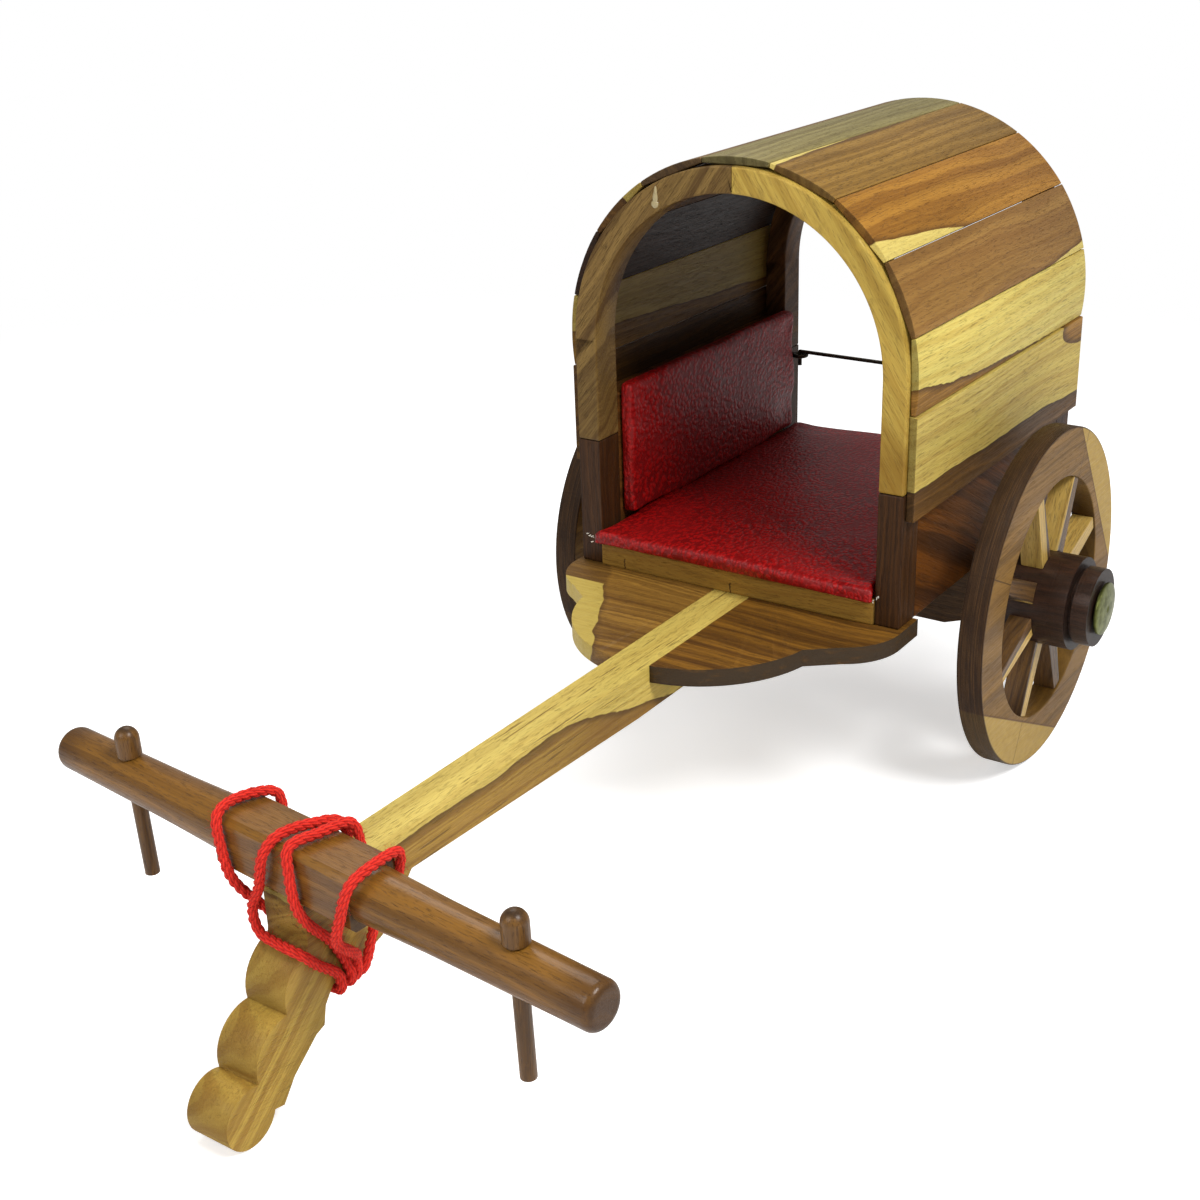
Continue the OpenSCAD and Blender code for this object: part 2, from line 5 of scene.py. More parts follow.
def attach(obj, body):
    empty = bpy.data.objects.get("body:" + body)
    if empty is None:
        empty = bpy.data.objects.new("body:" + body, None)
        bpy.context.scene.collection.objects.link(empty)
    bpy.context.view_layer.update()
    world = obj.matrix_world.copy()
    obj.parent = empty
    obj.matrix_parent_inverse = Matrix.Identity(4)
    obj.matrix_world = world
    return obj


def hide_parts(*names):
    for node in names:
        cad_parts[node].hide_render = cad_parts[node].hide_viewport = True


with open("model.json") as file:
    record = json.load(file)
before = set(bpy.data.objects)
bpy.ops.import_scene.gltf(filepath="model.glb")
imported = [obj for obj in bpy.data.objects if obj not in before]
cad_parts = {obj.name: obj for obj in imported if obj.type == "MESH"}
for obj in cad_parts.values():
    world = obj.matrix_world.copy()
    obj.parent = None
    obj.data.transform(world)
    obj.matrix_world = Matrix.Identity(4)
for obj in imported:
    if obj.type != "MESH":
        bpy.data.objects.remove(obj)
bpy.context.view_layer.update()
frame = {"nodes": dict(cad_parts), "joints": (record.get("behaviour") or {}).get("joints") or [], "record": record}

rng = random.Random(7)
NODES = frame["nodes"]
RECORD = frame["record"]

# ---------------------------------------------------------------- the level frame
# part.scad draws the body level, with the axle's centre at zero, then tips it onto its foot.
# L() turns a level point in millimetres into a row point in metres, and D() turns a direction.
hinge = [j for j in frame["joints"] if j["name"] == "wheel_left_spin"][0]
AXLE = Vector((hinge["pos_m"][0], 0, hinge["pos_m"][2]))
up_axis = [m for m in RECORD["mounts"] if m["name"] == "footboard_top"][0]["axis"]
TIP = math.atan2(up_axis[0], up_axis[2])
C, S = math.cos(TIP), math.sin(TIP)


def D(x, y, z):
    return Vector((x * C + z * S, y, -x * S + z * C))


def L(x, y, z):
    return AXLE + D(x, y, z) / 1000


# ---------------------------------------------------------------- camera and light
def camera():
    eye = L(325.124, 165.131, 146.222)
    forward = D(-0.749976, -0.529544, -0.396382).normalized()
    up = D(-0.344058, -0.199508, 0.917508)
    right = forward.cross(up).normalized()
    up = right.cross(forward)
    data = bpy.data.cameras.new("camera")
    data.sensor_width = 36
    data.lens = 52.026
    data.clip_start = 0.01
    data.clip_end = 50
    o = bpy.data.objects.new("camera", data)
    bpy.context.scene.collection.objects.link(o)
    m = Matrix((right, up, -forward)).transposed().to_4x4()
    m.translation = eye
    o.matrix_world = m
    bpy.context.scene.camera = o


def area(name, at, aim, size, power, colour=(1, 1, 1)):
    data = bpy.data.lights.new(name, "AREA")
    data.shape = "DISK"
    data.size = size
    data.energy = power
    data.color = colour
    o = bpy.data.objects.new(name, data)
    bpy.context.scene.collection.objects.link(o)
    o.location = at
    o.rotation_mode = "QUATERNION"
    o.rotation_quaternion = (Vector(aim) - Vector(at)).to_track_quat("-Z", "Y")


def lights():
    bpy.context.scene.view_settings.view_transform = "Standard"
    world = bpy.data.worlds.new("world")
    bpy.context.scene.world = world
    world.use_nodes = True
    t = world.node_tree
    t.nodes.clear()
    out = t.nodes.new("ShaderNodeOutputWorld")
    soft = t.nodes.new("ShaderNodeBackground")
    soft.inputs[0].default_value = (1, 1, 1, 1)
    soft.inputs[1].default_value = 0.33
    plain = t.nodes.new("ShaderNodeBackground")
    plain.inputs[0].default_value = (1, 1, 1, 1)
    plain.inputs[1].default_value = 1
    path = t.nodes.new("ShaderNodeLightPath")
    mix = t.nodes.new("ShaderNodeMixShader")
    t.links.new(path.outputs["Is Camera Ray"], mix.inputs[0])
    t.links.new(soft.outputs[0], mix.inputs[1])
    t.links.new(plain.outputs[0], mix.inputs[2])
    t.links.new(mix.outputs[0], out.inputs[0])
    area("key", (0.12, 0.45, 0.62), (-0.03, 0, 0.05), 0.3, 4.2)
    area("front", (0.75, -0.25, 0.55), (0, 0, 0.05), 0.5, 2.7)
    area("top", (-0.25, -0.30, 0.60), (-0.06, 0, 0.08), 0.4, 1.3)


def floor():
    bm = bmesh.new()
    bmesh.ops.create_circle(bm, cap_ends=True, segments=96, radius=7)
    me = bpy.data.meshes.new("floor")
    bm.to_mesh(me)
    o = bpy.data.objects.new("floor", me)
    bpy.context.scene.collection.objects.link(o)
    o.location = (0, 0, -0.00005)
    mat = bpy.data.materials.new("floor")
    mat.use_nodes = True
    k = Kit(mat.node_tree)
    k.t.nodes.clear()
    out = k.t.nodes.new("ShaderNodeOutputMaterial")
    diff = k.t.nodes.new("ShaderNodeBsdfDiffuse")
    diff.inputs[0].default_value = (0.9, 0.9, 0.9, 1)
    glow = k.t.nodes.new("ShaderNodeEmission")
    coord = k.t.nodes.new("ShaderNodeTexCoord")
    d = k.vm("LENGTH", coord.outputs["Object"])
    far = k.ramp(d, 0.22, 0.55)
    path = k.t.nodes.new("ShaderNodeLightPath")
    seen = path.outputs["Is Camera Ray"]
    k.link(k.m("MULTIPLY", seen, k.m("ADD", k.m("MULTIPLY", far, 0.48), 0.52)), glow.inputs[1])
    plain = k.t.nodes.new("ShaderNodeMixShader")
    k.link(k.m("MULTIPLY", far, seen), plain.inputs[0])
    k.link(diff.outputs[0], plain.inputs[1])
    black = k.t.nodes.new("ShaderNodeEmission")
    black.inputs[1].default_value = 0
    k.link(black.outputs[0], plain.inputs[2])
    add = k.t.nodes.new("ShaderNodeAddShader")
    k.link(plain.outputs[0], add.inputs[0])
    k.link(glow.outputs[0], add.inputs[1])
    k.link(add.outputs[0], out.inputs[0])
    me.materials.append(mat)


# ---------------------------------------------------------------- node helpers
class Kit:
    def __init__(self, tree):
        self.t = tree

    def link(self, a, b):
        self.t.links.new(a, b)

    def put(self, socket, value):
        if isinstance(value, bpy.types.NodeSocket):
            self.link(value, socket)
        elif isinstance(value, (int, float)):
            socket.default_value = value
        elif len(value) == 4 or len(socket.default_value) == len(value):
            socket.default_value = value
        else:
            socket.default_value = (*value, 1)

    def m(self, op, a, b=0.0, c=0.0, clamp=False):
        n = self.t.nodes.new("ShaderNodeMath")
        n.operation = op
        n.use_clamp = clamp
        for i, v in enumerate((a, b, c)):
            self.put(n.inputs[i], v)
        return n.outputs[0]

    def vm(self, op, a, b=(0, 0, 0)):
        n = self.t.nodes.new("ShaderNodeVectorMath")
        n.operation = op
        self.put(n.inputs[0], a)
        if op == "SCALE":
            self.put(n.inputs["Scale"], b)
        elif op != "LENGTH":
            self.put(n.inputs[1], b)
        return n.outputs["Value"] if op in ("LENGTH", "DOT_PRODUCT") else n.outputs["Vector"]

    def xyz(self, v):
        n = self.t.nodes.new("ShaderNodeSeparateXYZ")
        self.put(n.inputs[0], v)
        return n.outputs

    def join(self, x, y, z):
        n = self.t.nodes.new("ShaderNodeCombineXYZ")
        for i, v in enumerate((x, y, z)):
            self.put(n.inputs[i], v)
        return n.outputs[0]

    def noise(self, v, scale=(1, 1, 1), detail=2.0, rough=0.5, dist=0.0):
        n = self.t.nodes.new("ShaderNodeTexNoise")
        self.put(n.inputs["Vector"], self.vm("MULTIPLY", v, scale))
        n.inputs["Scale"].default_value = 1
        n.inputs["Detail"].default_value = detail
        n.inputs["Roughness"].default_value = rough
        n.inputs["Distortion"].default_value = dist
        return n.outputs[0]

    def line(self, w, detail=2.0, rough=0.5):
        n = self.t.nodes.new("ShaderNodeTexNoise")
        n.noise_dimensions = "1D"
        self.put(n.inputs["W"], w)
        n.inputs["Scale"].default_value = 1
        n.inputs["Detail"].default_value = detail
        n.inputs["Roughness"].default_value = rough
        return n.outputs[0]

    def voronoi(self, v, scale, feature="F1", random=1.0):
        n = self.t.nodes.new("ShaderNodeTexVoronoi")
        n.feature = feature
        self.put(n.inputs["Vector"], v)
        n.inputs["Scale"].default_value = scale
        n.inputs["Randomness"].default_value = random
        return n.outputs["Distance"]

    def ramp(self, v, a, b, c=0.0, d=1.0, smooth=True):
        n = self.t.nodes.new("ShaderNodeMapRange")
        n.interpolation_type = "SMOOTHSTEP" if smooth else "LINEAR"
        for i, x in zip((0, 1, 2, 3, 4), (v, a, b, c, d)):
            self.put(n.inputs[i], x)
        return n.outputs[0]

    def mix(self, f, a, b, blend="MIX"):
        n = self.t.nodes.new("ShaderNodeMix")
        n.data_type = "RGBA"
        n.blend_type = blend
        n.clamp_factor = True
        self.put(n.inputs[0], f)
        self.put(n.inputs[6], a)
        self.put(n.inputs[7], b)
        return n.outputs[2]


def rgb(r, g, b):
    def f(c):
        c /= 255
        return c / 12.92 if c <= 0.04045 else ((c + 0.055) / 1.055) ** 2.4
    return (f(r), f(g), f(b), 1)


# ---------------------------------------------------------------- wood
# P is a place in the board in millimetres, with x along the grain, y across it and z through it.
# Sapwood lies where y is under Edge + Slope * x, and heartwood beyond it.
def wood_group():
    g = bpy.data.node_groups.new("wood", "ShaderNodeTree")
    face = g.interface
    for name, kind in (("P", "Vector"), ("Sap", "Color"), ("SapLine", "Color"), ("Heart", "Color"),
                       ("HeartLine", "Color"), ("Edge", "Float"), ("Slope", "Float"),
                       ("Wave", "Float"), ("Seed", "Float"), ("Figure", "Float"), ("Ring", "Float"),
                       ("End", "Float"), ("Fleck", "Float")):
        face.new_socket(name=name, in_out="INPUT", socket_type="NodeSocket" + kind)
    for name, kind in (("Color", "Color"), ("Rough", "Float"), ("Height", "Float")):
        face.new_socket(name=name, in_out="OUTPUT", socket_type="NodeSocket" + kind)
    k = Kit(g)
    i = g.nodes.new("NodeGroupInput").outputs
    out = g.nodes.new("NodeGroupOutput").inputs
    x, y, z = k.xyz(i["P"])
    seed = k.join(k.m("MULTIPLY", i["Seed"], 37.1), k.m("MULTIPLY", i["Seed"], 11.3),
                  k.m("MULTIPLY", i["Seed"], 5.7))
    p = k.vm("ADD", i["P"], seed)
    long = k.m("SUBTRACT", k.noise(p, (0.02, 0.05, 0.05), 2), 0.5)
    short = k.m("SUBTRACT", k.noise(p, (0.12, 0.55, 0.55), 2), 0.5)
    yw = k.m("ADD", y, k.m("MULTIPLY", long, k.m("MULTIPLY", i["Wave"], 3.0)))
    yj = k.m("ADD", yw, k.m("MULTIPLY", short, k.m("MULTIPLY", i["Wave"], 0.5)))
    away = k.m("SUBTRACT", k.m("SUBTRACT", yj, i["Edge"]), k.m("MULTIPLY", i["Slope"], x))
    heart = k.ramp(away, -0.12, 0.12)
    # growth rings run with the boundary, so they bend with it
    q = k.m("ADD", k.m("MULTIPLY", away, i["Ring"]), k.m("MULTIPLY", z, k.m("MULTIPLY", i["Ring"], 0.45)))
    q = k.m("ADD", q, k.m("MULTIPLY", k.noise(p, (0.012, 0.09, 0.09), 2), 3.0))
    q = k.m("ADD", q, k.m("MULTIPLY", i["Seed"], 3.3))
    ring = k.ramp(k.line(q, 3, 0.6), 0.36, 0.66)
    vein = k.ramp(k.m("ABSOLUTE", k.m("SUBTRACT", k.line(k.m("MULTIPLY", q, 0.8), 1, 0.5), 0.5)),
                  0.035, 0.0)
    fibre = k.ramp(k.noise(p, (0.07, 3.6, 3.6), 3, 0.6), 0.3, 0.7)
    pore = k.ramp(k.noise(p, (0.42, 7.5, 7.5), 1), 0.60, 0.70)
    fleck = k.m("MULTIPLY", k.ramp(k.noise(p, (0.16, 2.3, 2.3), 2), 0.60, 0.70), i["Fleck"])
    tone = k.noise(p, (0.02, 0.16, 0.16), 2)
    s1 = k.m("ADD", k.m("MULTIPLY", ring, 0.6), k.m("MULTIPLY", fibre, 0.4))
    sap = k.mix(k.m("MULTIPLY", s1, i["Figure"]), i["Sap"], i["SapLine"])
    sap = k.mix(k.m("MULTIPLY", fleck, 0.75), sap, i["HeartLine"])
    s2 = k.m("ADD", k.m("MULTIPLY", ring, 0.7), k.m("MULTIPLY", fibre, 0.3))
    hrt = k.mix(k.m("MULTIPLY", s2, i["Figure"]), i["Heart"], i["HeartLine"])
    hrt = k.mix(k.m("MULTIPLY", vein, k.m("MULTIPLY", i["Figure"], 0.6)), hrt, i["HeartLine"])
    col = k.mix(heart, sap, hrt)
    rim = k.m("MULTIPLY", heart, k.ramp(away, 0.9, 0.0))
    col = k.mix(k.m("MULTIPLY", rim, 0.8), col, k.mix(1, i["HeartLine"], (0.75, 0.7, 0.7, 1), "MULTIPLY"))
    pores = k.m("MULTIPLY", pore, k.m("ADD", k.m("MULTIPLY", heart, 0.15), 0.35))
    col = k.mix(pores, col, k.mix(1, i["HeartLine"], (0.6, 0.55, 0.5, 1), "MULTIPLY"))
    shade = k.ramp(tone, 0.2, 0.8, 0.84, 1.16, False)
    col = k.mix(1, col, k.join(shade, shade, k.m("POWER", shade, 1.2)), "MULTIPLY")
    dark = k.m("SUBTRACT", 1, k.m("MULTIPLY", i["End"], 0.5))
    col = k.mix(1, col, k.join(dark, dark, dark), "MULTIPLY")
    k.link(col, out["Color"])
    rough = k.m("ADD", 0.36, k.m("ADD", k.m("MULTIPLY", fibre, 0.14), k.m("MULTIPLY", pore, 0.12)))
    k.link(k.m("ADD", rough, k.m("MULTIPLY", i["End"], 0.15)), out["Rough"])
    h = k.m("ADD", k.m("MULTIPLY", fibre, 0.35), k.m("MULTIPLY", ring, 0.25))
    h = k.m("SUBTRACT", h, k.m("MULTIPLY", pore, 0.8))
    k.link(k.m("ADD", h, k.m("MULTIPLY", tone, 0.5)), out["Height"])
    return g


WOOD = wood_group()
SAP = rgb(216, 188, 96)
SAP2 = rgb(184, 150, 66)
GOLD = rgb(172, 128, 48)
GOLD2 = rgb(122, 82, 26)
MID = rgb(138, 96, 38)
MID2 = rgb(96, 62, 24)
GREY = rgb(132, 112, 78)
GREY2 = rgb(96, 78, 50)
DARK = rgb(74, 45, 20)
DARK2 = rgb(42, 25, 12)
BLACK = rgb(44, 27, 14)


def coords(k, o, u, v):
    """Millimetres along the directions u, v and their cross product, from the point o."""
    w = u.cross(v).normalized()
    tc = k.t.nodes.new("ShaderNodeTexCoord")
    at = k.vm("SUBTRACT", tc.outputs["Object"], o)
    parts = [k.vm("DOT_PRODUCT", at, tuple(d * 1000)) for d in (u, v, w)]
    end = k.m("ABSOLUTE", k.vm("DOT_PRODUCT", tc.outputs["Normal"], tuple(u)))
    return k.join(*parts), k.ramp(end, 0.6, 0.9), tc


def principled(name):
    mat = bpy.data.materials.new(name)
    mat.use_nodes = True
    k = Kit(mat.node_tree)
    b = mat.node_tree.nodes["Principled BSDF"]
    return mat, k, b


def bump(k, b, height, metres, strength=1.0):
    n = k.t.nodes.new("ShaderNodeBump")
    n.inputs["Strength"].default_value = strength
    n.inputs["Distance"].default_value = metres
    k.link(height, n.inputs["Height"])
    k.link(n.outputs[0], b.inputs["Normal"])


def grain(k, p, end, sap, sapline, heart, line, edge, slope, wave, seed, figure, ring, fleck):
    n = k.t.nodes.new("ShaderNodeGroup")
    n.node_tree = WOOD
    for key, val in (("P", p), ("Sap", sap), ("SapLine", sapline), ("Heart", heart),
                     ("HeartLine", line), ("Edge", edge), ("Slope", slope), ("Wave", wave),
                     ("Seed", seed), ("Figure", figure), ("Ring", ring), ("End", end),
                     ("Fleck", fleck)):
        k.put(n.inputs[key], val)
    return n.outputs["Color"], n.outputs["Rough"], n.outputs["Height"]


def wood(name, o, u, v, sap=SAP, sapline=SAP2, heart=MID, line=MID2, edge=-999, slope=0.0,
         wave=2.0, seed=0.0, figure=0.8, ring=0.55, fleck=0.2, coat=0.02, gloss=0.3, extra=None):
    mat, k, b = principled(name)
    p, end, tc = coords(k, L(*o), D(*u).normalized(), D(*v).normalized())
    col, rough, height = grain(k, p, end, sap, sapline, heart, line, edge, slope, wave, seed,
                               figure, ring, fleck)
    if extra:
        col, height = extra(k, p, col, height, tc)
    k.link(col, b.inputs["Base Color"])
    k.link(rough, b.inputs["Roughness"])
    b.inputs["Coat Weight"].default_value = coat
    b.inputs["Coat Roughness"].default_value = gloss
    b.inputs["Specular IOR Level"].default_value = 0.16
    bump(k, b, height, 0.00007)
    return mat


X, Y, Z = (1, 0, 0), (0, 1, 0), (0, 0, 1)


def give(node, mat, bevel=0.35, segments=2):
    o = NODES[node]
    o.data.materials.clear()
    o.data.materials.append(mat)
    if bevel:
        w = o.modifiers.new("weld", "WELD")
        w.merge_threshold = 1e-6
        b = o.modifiers.new("edges", "BEVEL")
        b.width = bevel / 1000
        b.segments = segments
        b.limit_method = "ANGLE"
        b.angle_limit = math.radians(32)
        b.harden_normals = False
    return o


def body_wood():
    give("pole", wood("pole_wood", (0, 4.1, 6.7), X, (0, 0, -1), sap=rgb(214, 190, 98), sapline=rgb(180, 148, 66),
                      edge=999, wave=1.0, seed=1.3, ring=0.5, fleck=0.35, extra=pole_extra))
    for side, s in (("left", 1), ("right", -1)):
        heart, line = (rgb(142, 98, 34), rgb(84, 54, 22)) if s > 0 else (rgb(164, 122, 52), rgb(98, 66, 28))
        give("footboard_" + side, wood("footboard_%s_wood" % side, (44, 0, 6.7), Y, X,
             sap=rgb(206, 184, 96), sapline=rgb(176, 142, 66), heart=heart, line=line,
             seed=2.1 + s, ring=0.36, wave=2.6, figure=1.0, extra=board_edge if s > 0 else pale_lobe))
    give("floor_board", wood("floor_wood", (0, 0, 7), X, Y, heart=MID, line=DARK, seed=3))
    give("seat_panel", wood("seat_panel_wood", (0, 0, 11), X, Y, heart=GOLD, line=MID, seed=4))
    give("seat_front_board", wood("front_board_wood", (45, 0, 9.4), Y, Z, heart=rgb(164, 126, 54),
                                  line=rgb(142, 104, 42), seed=5, ring=0.8, extra=board_cracks))
    give("seat_rear_board", wood("rear_board_wood", (-41, 0, 9.4), Y, Z, heart=MID, line=MID2, seed=6, ring=0.8))
    for i, n in enumerate(("front_left", "front_right", "rear_left", "rear_right")):
        give("post_" + n, wood("post_%s_wood" % n, (0, 0, 0), Z, Y, heart=rgb(76, 47, 22),
                               line=rgb(42, 25, 12), seed=7 + i, ring=0.9))
    # the near half of the front hoop is sapwood, the other half mottled heartwood
    give("hoop_front_left", wood("hoop_front_left_wood", (0, 20, 72), (0, -0.55, 0.83), (0, 0.83, 0.55),
                                 sap=rgb(196, 166, 78), sapline=rgb(160, 124, 48), edge=999, seed=11,
                                 ring=0.5, fleck=0.1, extra=painted_leg_shade))
    give("hoop_front_right", wood("hoop_front_right_wood", (0, -20, 72), (0, 0.62, 0.78), (0, 0.78, -0.62),
                                  heart=rgb(136, 108, 58), line=rgb(80, 56, 26), seed=12, ring=0.35,
                                  figure=0.9))
    for s, n in ((1, "left"), (-1, "right")):
        give("hoop_rear_" + n, wood("hoop_rear_%s_wood" % n, (0, 20 * s, 72), (0, -0.6 * s, 0.8), (0, 0.8, 0.6 * s),
                                    heart=rgb(108, 74, 40), line=rgb(56, 36, 20), seed=13 + s, ring=0.4))
    give("side_panel_left", wood("side_panel_left_wood", (0, 36.9, 24), (0.88, 0, 0.48), (-0.48, 0, 0.88),
                                 heart=rgb(112, 64, 18), line=rgb(56, 30, 8), seed=15, ring=0.28,
                                 wave=3, figure=1.0))
    give("side_panel_right", wood("side_panel_right_wood", (0, -36.9, 24), (0.92, 0, 0.38), (-0.38, 0, 0.92),
                                  heart=rgb(118, 74, 30), line=rgb(64, 38, 16), seed=16.4, ring=0.3, wave=3))
    give("bolster", wood("bolster_wood", (0, 0, 0), Y, Z, heart=rgb(84, 60, 36), line=rgb(52, 36, 22),
                         seed=17, ring=0.7))
    give("axle", wood("axle_wood", (0, 0, 0), Y, Z, heart=GOLD, line=MID, seed=18), bevel=0)


def painted_leg_shade(k, p, col, height, tc):
    """Painted shade: the near hoop half darkens to brown towards the foot of its leg."""
    x, y, z = k.xyz(p)
    up = k.m("ADD", k.m("MULTIPLY", x, 0.83), k.m("MULTIPLY", y, 0.55))
    f = k.ramp(k.m("ADD", up, k.m("MULTIPLY", k.noise(p, (0.1, 0.5, 0.5), 2), 6)), -18, -30)
    return k.mix(k.m("MULTIPLY", f, 0.75), col, rgb(134, 98, 32)), height


def board_edge(k, p, col, height, tc):
    """Darker patches on the left footboard's side faces, those not facing up."""
    up = k.m("ABSOLUTE", k.vm("DOT_PRODUCT", tc.outputs["Normal"], tuple(D(0, 0, 1))))
    f = k.m("MULTIPLY", k.ramp(up, 0.6, 0.3), k.ramp(k.noise(p, (0.15, 0.3, 0.8), 3), 0.2, 0.5, 0.5, 1))
    return k.mix(f, col, rgb(62, 48, 32)), height


def pale_lobe(k, p, col, height, tc):
    """The right footboard's front lobe is sapwood beyond a slanting line."""
    x, y, z = k.xyz(p)
    d = k.m("SUBTRACT", k.m("MULTIPLY", k.m("SUBTRACT", y, 12.5), 0.5), k.m("MULTIPLY", x, 0.87))
    d = k.m("ADD", k.m("SUBTRACT", d, 20.6), k.m("MULTIPLY", k.m("SUBTRACT", k.noise(p, (0.06, 0.15, 0.15), 1), 0.5), 3))
    f = k.m("MULTIPLY", k.ramp(d, -0.1, 0.15), k.ramp(y, 9.5, 9.9))
    tint = k.mix(k.noise(p, (0.07, 1.6, 1.6), 3), rgb(204, 182, 92), rgb(176, 146, 66))
    rim = k.m("MULTIPLY", k.ramp(d, -1.2, 0.0), k.m("SUBTRACT", 1, f))
    col = k.mix(k.m("MULTIPLY", rim, 0.5), col, rgb(70, 46, 22))
    return k.mix(f, col, tint), height


def pole_extra(k, p, col, height, tc):
    """Heartwood along the pole's side, short dark cracks on top, and a golden-brown foot whose front faces carry
    painted shade.
    """
    x, y, z = k.xyz(p)
    line = k.m("MAXIMUM", k.m("MULTIPLY", k.m("SUBTRACT", 108, x), 0.245), 0.0)
    line = k.m("ADD", line, 0.9)
    bend = k.m("ADD", k.m("MULTIPLY", k.m("SUBTRACT", k.noise(p, (0.05, 0.2, 0.2), 2), 0.5), 3.0),
               k.m("MULTIPLY", k.m("SUBTRACT", k.noise(p, (0.4, 1.2, 1.2), 2), 0.5), 0.6))
    d = k.m("SUBTRACT", k.m("ADD", y, bend), line)
    brown, rough, h2 = grain(k, p, 0.0, SAP, SAP2, rgb(172, 136, 60), rgb(128, 92, 38), -999, 0, 1.5,
                             2.9, 0.8, 0.45, 0.2)
    brown = k.mix(k.m("MULTIPLY", k.ramp(x, 112, 96), 0.6), brown, rgb(122, 84, 32))
    rim = k.m("MULTIPLY", k.ramp(d, 1.6, 0.0), k.ramp(d, -0.1, 0.05))
    brown = k.mix(k.m("MULTIPLY", rim, 0.7), brown, rgb(70, 46, 18))
    col = k.mix(k.ramp(d, -0.12, 0.1), col, brown)
    n = k.noise(p, (0.05, 1.4, 1.4), 1)
    f = k.m("MULTIPLY", k.ramp(n, 0.66, 0.70), 0.7)
    col = k.mix(f, col, rgb(104, 76, 32))
    height = k.m("SUBTRACT", height, f)
    # the foot's grain runs down and forwards
    c, s = math.cos(math.radians(38)), math.sin(math.radians(38))
    q = k.join(k.m("ADD", k.m("MULTIPLY", x, c), k.m("MULTIPLY", y, s)),
               k.m("SUBTRACT", k.m("MULTIPLY", y, c), k.m("MULTIPLY", x, s)), z)
    foot, rough, h3 = grain(k, q, 0.0, SAP, SAP2, rgb(190, 158, 72), rgb(150, 112, 46), -999, 0, 2.0,
                            5.2, 0.85, 0.4, 0.3)
    low = k.m("MULTIPLY", k.ramp(y, 7.5, 9.5), k.ramp(x, 148, 156))
    # painted shade: the foot's forward-facing faces are darkened, as less light reaches them
    front = k.ramp(k.vm("DOT_PRODUCT", tc.outputs["Normal"], tuple(D(1, 0, 0))), 0.2, 0.7)
    foot = k.mix(k.m("MULTIPLY", front, 0.3), foot, rgb(104, 72, 30))
    col = k.mix(low, col, foot)
    knot = k.vm("LENGTH", k.vm("MULTIPLY", k.vm("SUBTRACT", p, (169, 11, 0)), (0.28, 0.5, 0)))
    col = k.mix(k.m("MULTIPLY", k.ramp(k.m("ADD", knot, k.noise(p, (0.5, 0.5, 0.5), 3)), 1.3, 0.9), 0.7),
                col, rgb(72, 46, 20))
    return col, height


def board_cracks(k, p, col, height, tc):
    x, y, z = k.xyz(p)
    for cx, cy in ((-0.2, -1.8), (-25.9, -1.7)):
        dx = k.m("SUBTRACT", x, k.m("ADD", cx, k.m("MULTIPLY", k.m("SUBTRACT", k.noise(p, (0.5, 1.5, 1), 2), 0.5), 1.0)))
        f = k.m("MULTIPLY", k.ramp(k.m("ABSOLUTE", dx), 0.22, 0.05), k.ramp(k.m("ABSOLUTE", k.m("SUBTRACT", y, cy)), 1.6, 1.2))
        col = k.mix(k.m("MULTIPLY", f, 0.85), col, rgb(40, 24, 12))
        height = k.m("SUBTRACT", height, f)
    return col, height


def roof():
    r = 38.5
    looks = {
        # number: sap, sapline, heart, line, edge, slope, seed, ring, wave
        1: (SAP, SAP2, MID, DARK, -4, 0.02, 21.0, 0.45, 2.0),
        2: (SAP, SAP2, GOLD, GOLD2, 3, -0.05, 22.0, 0.45, 2.0),
        3: (SAP, SAP2, DARK, DARK2, -999, 0, 23.0, 0.4, 2.0),
        4: (SAP, SAP2, MID, MID2, -5, 0.06, 24.0, 0.4, 2.0),
        5: (SAP, SAP2, rgb(128, 98, 60), rgb(84, 62, 40), -999, 0, 25.0, 0.35, 2.0),
        6: (SAP, SAP2, rgb(146, 134, 84), rgb(104, 90, 50), -999, 0, 26.0, 0.4, 2.0),
        7: (SAP, SAP2, rgb(154, 118, 56), rgb(106, 76, 32), -999, 0, 27.0, 0.35, 1.5),
        8: (rgb(226, 206, 116), rgb(198, 170, 84), rgb(172, 122, 48), rgb(120, 76, 26), -999, 0, 28.0, 0.32, 2.0),
        9: (SAP, SAP2, rgb(160, 120, 62), rgb(122, 84, 42), -999, 0, 29.0, 0.3, 2.0),
        10: (rgb(222, 204, 112), rgb(188, 156, 70), rgb(168, 124, 52), rgb(74, 48, 24), 999, 0, 30.0, 0.34, 1.3),
        11: (rgb(204, 182, 94), rgb(158, 124, 54), rgb(118, 82, 38), rgb(52, 34, 16), 21.6, -0.02, 31.0, 0.36, 1.6),
    }
    for n, (sap, sapline, heart, line, edge, slope, seed, ring, wave) in looks.items():
        steps = n - 6
        a = math.radians(22 * steps) if abs(steps) < 5 else math.radians(90) * (1 if steps > 0 else -1)
        s = 1 if steps >= 0 else -1
        v = (0, s * math.cos(a), -s * math.sin(a))
        extra = wedge(n)
        give("roof_slat_%d" % n, wood("roof_slat_%d_wood" % n, (0, 0, 55.2), X, v, sap=sap, sapline=sapline,
             heart=heart, line=line, edge=edge, slope=slope, seed=seed, ring=ring, wave=wave,
             fleck=0.5 if n in (10, 11) else 0.2, extra=extra), bevel=0.22)


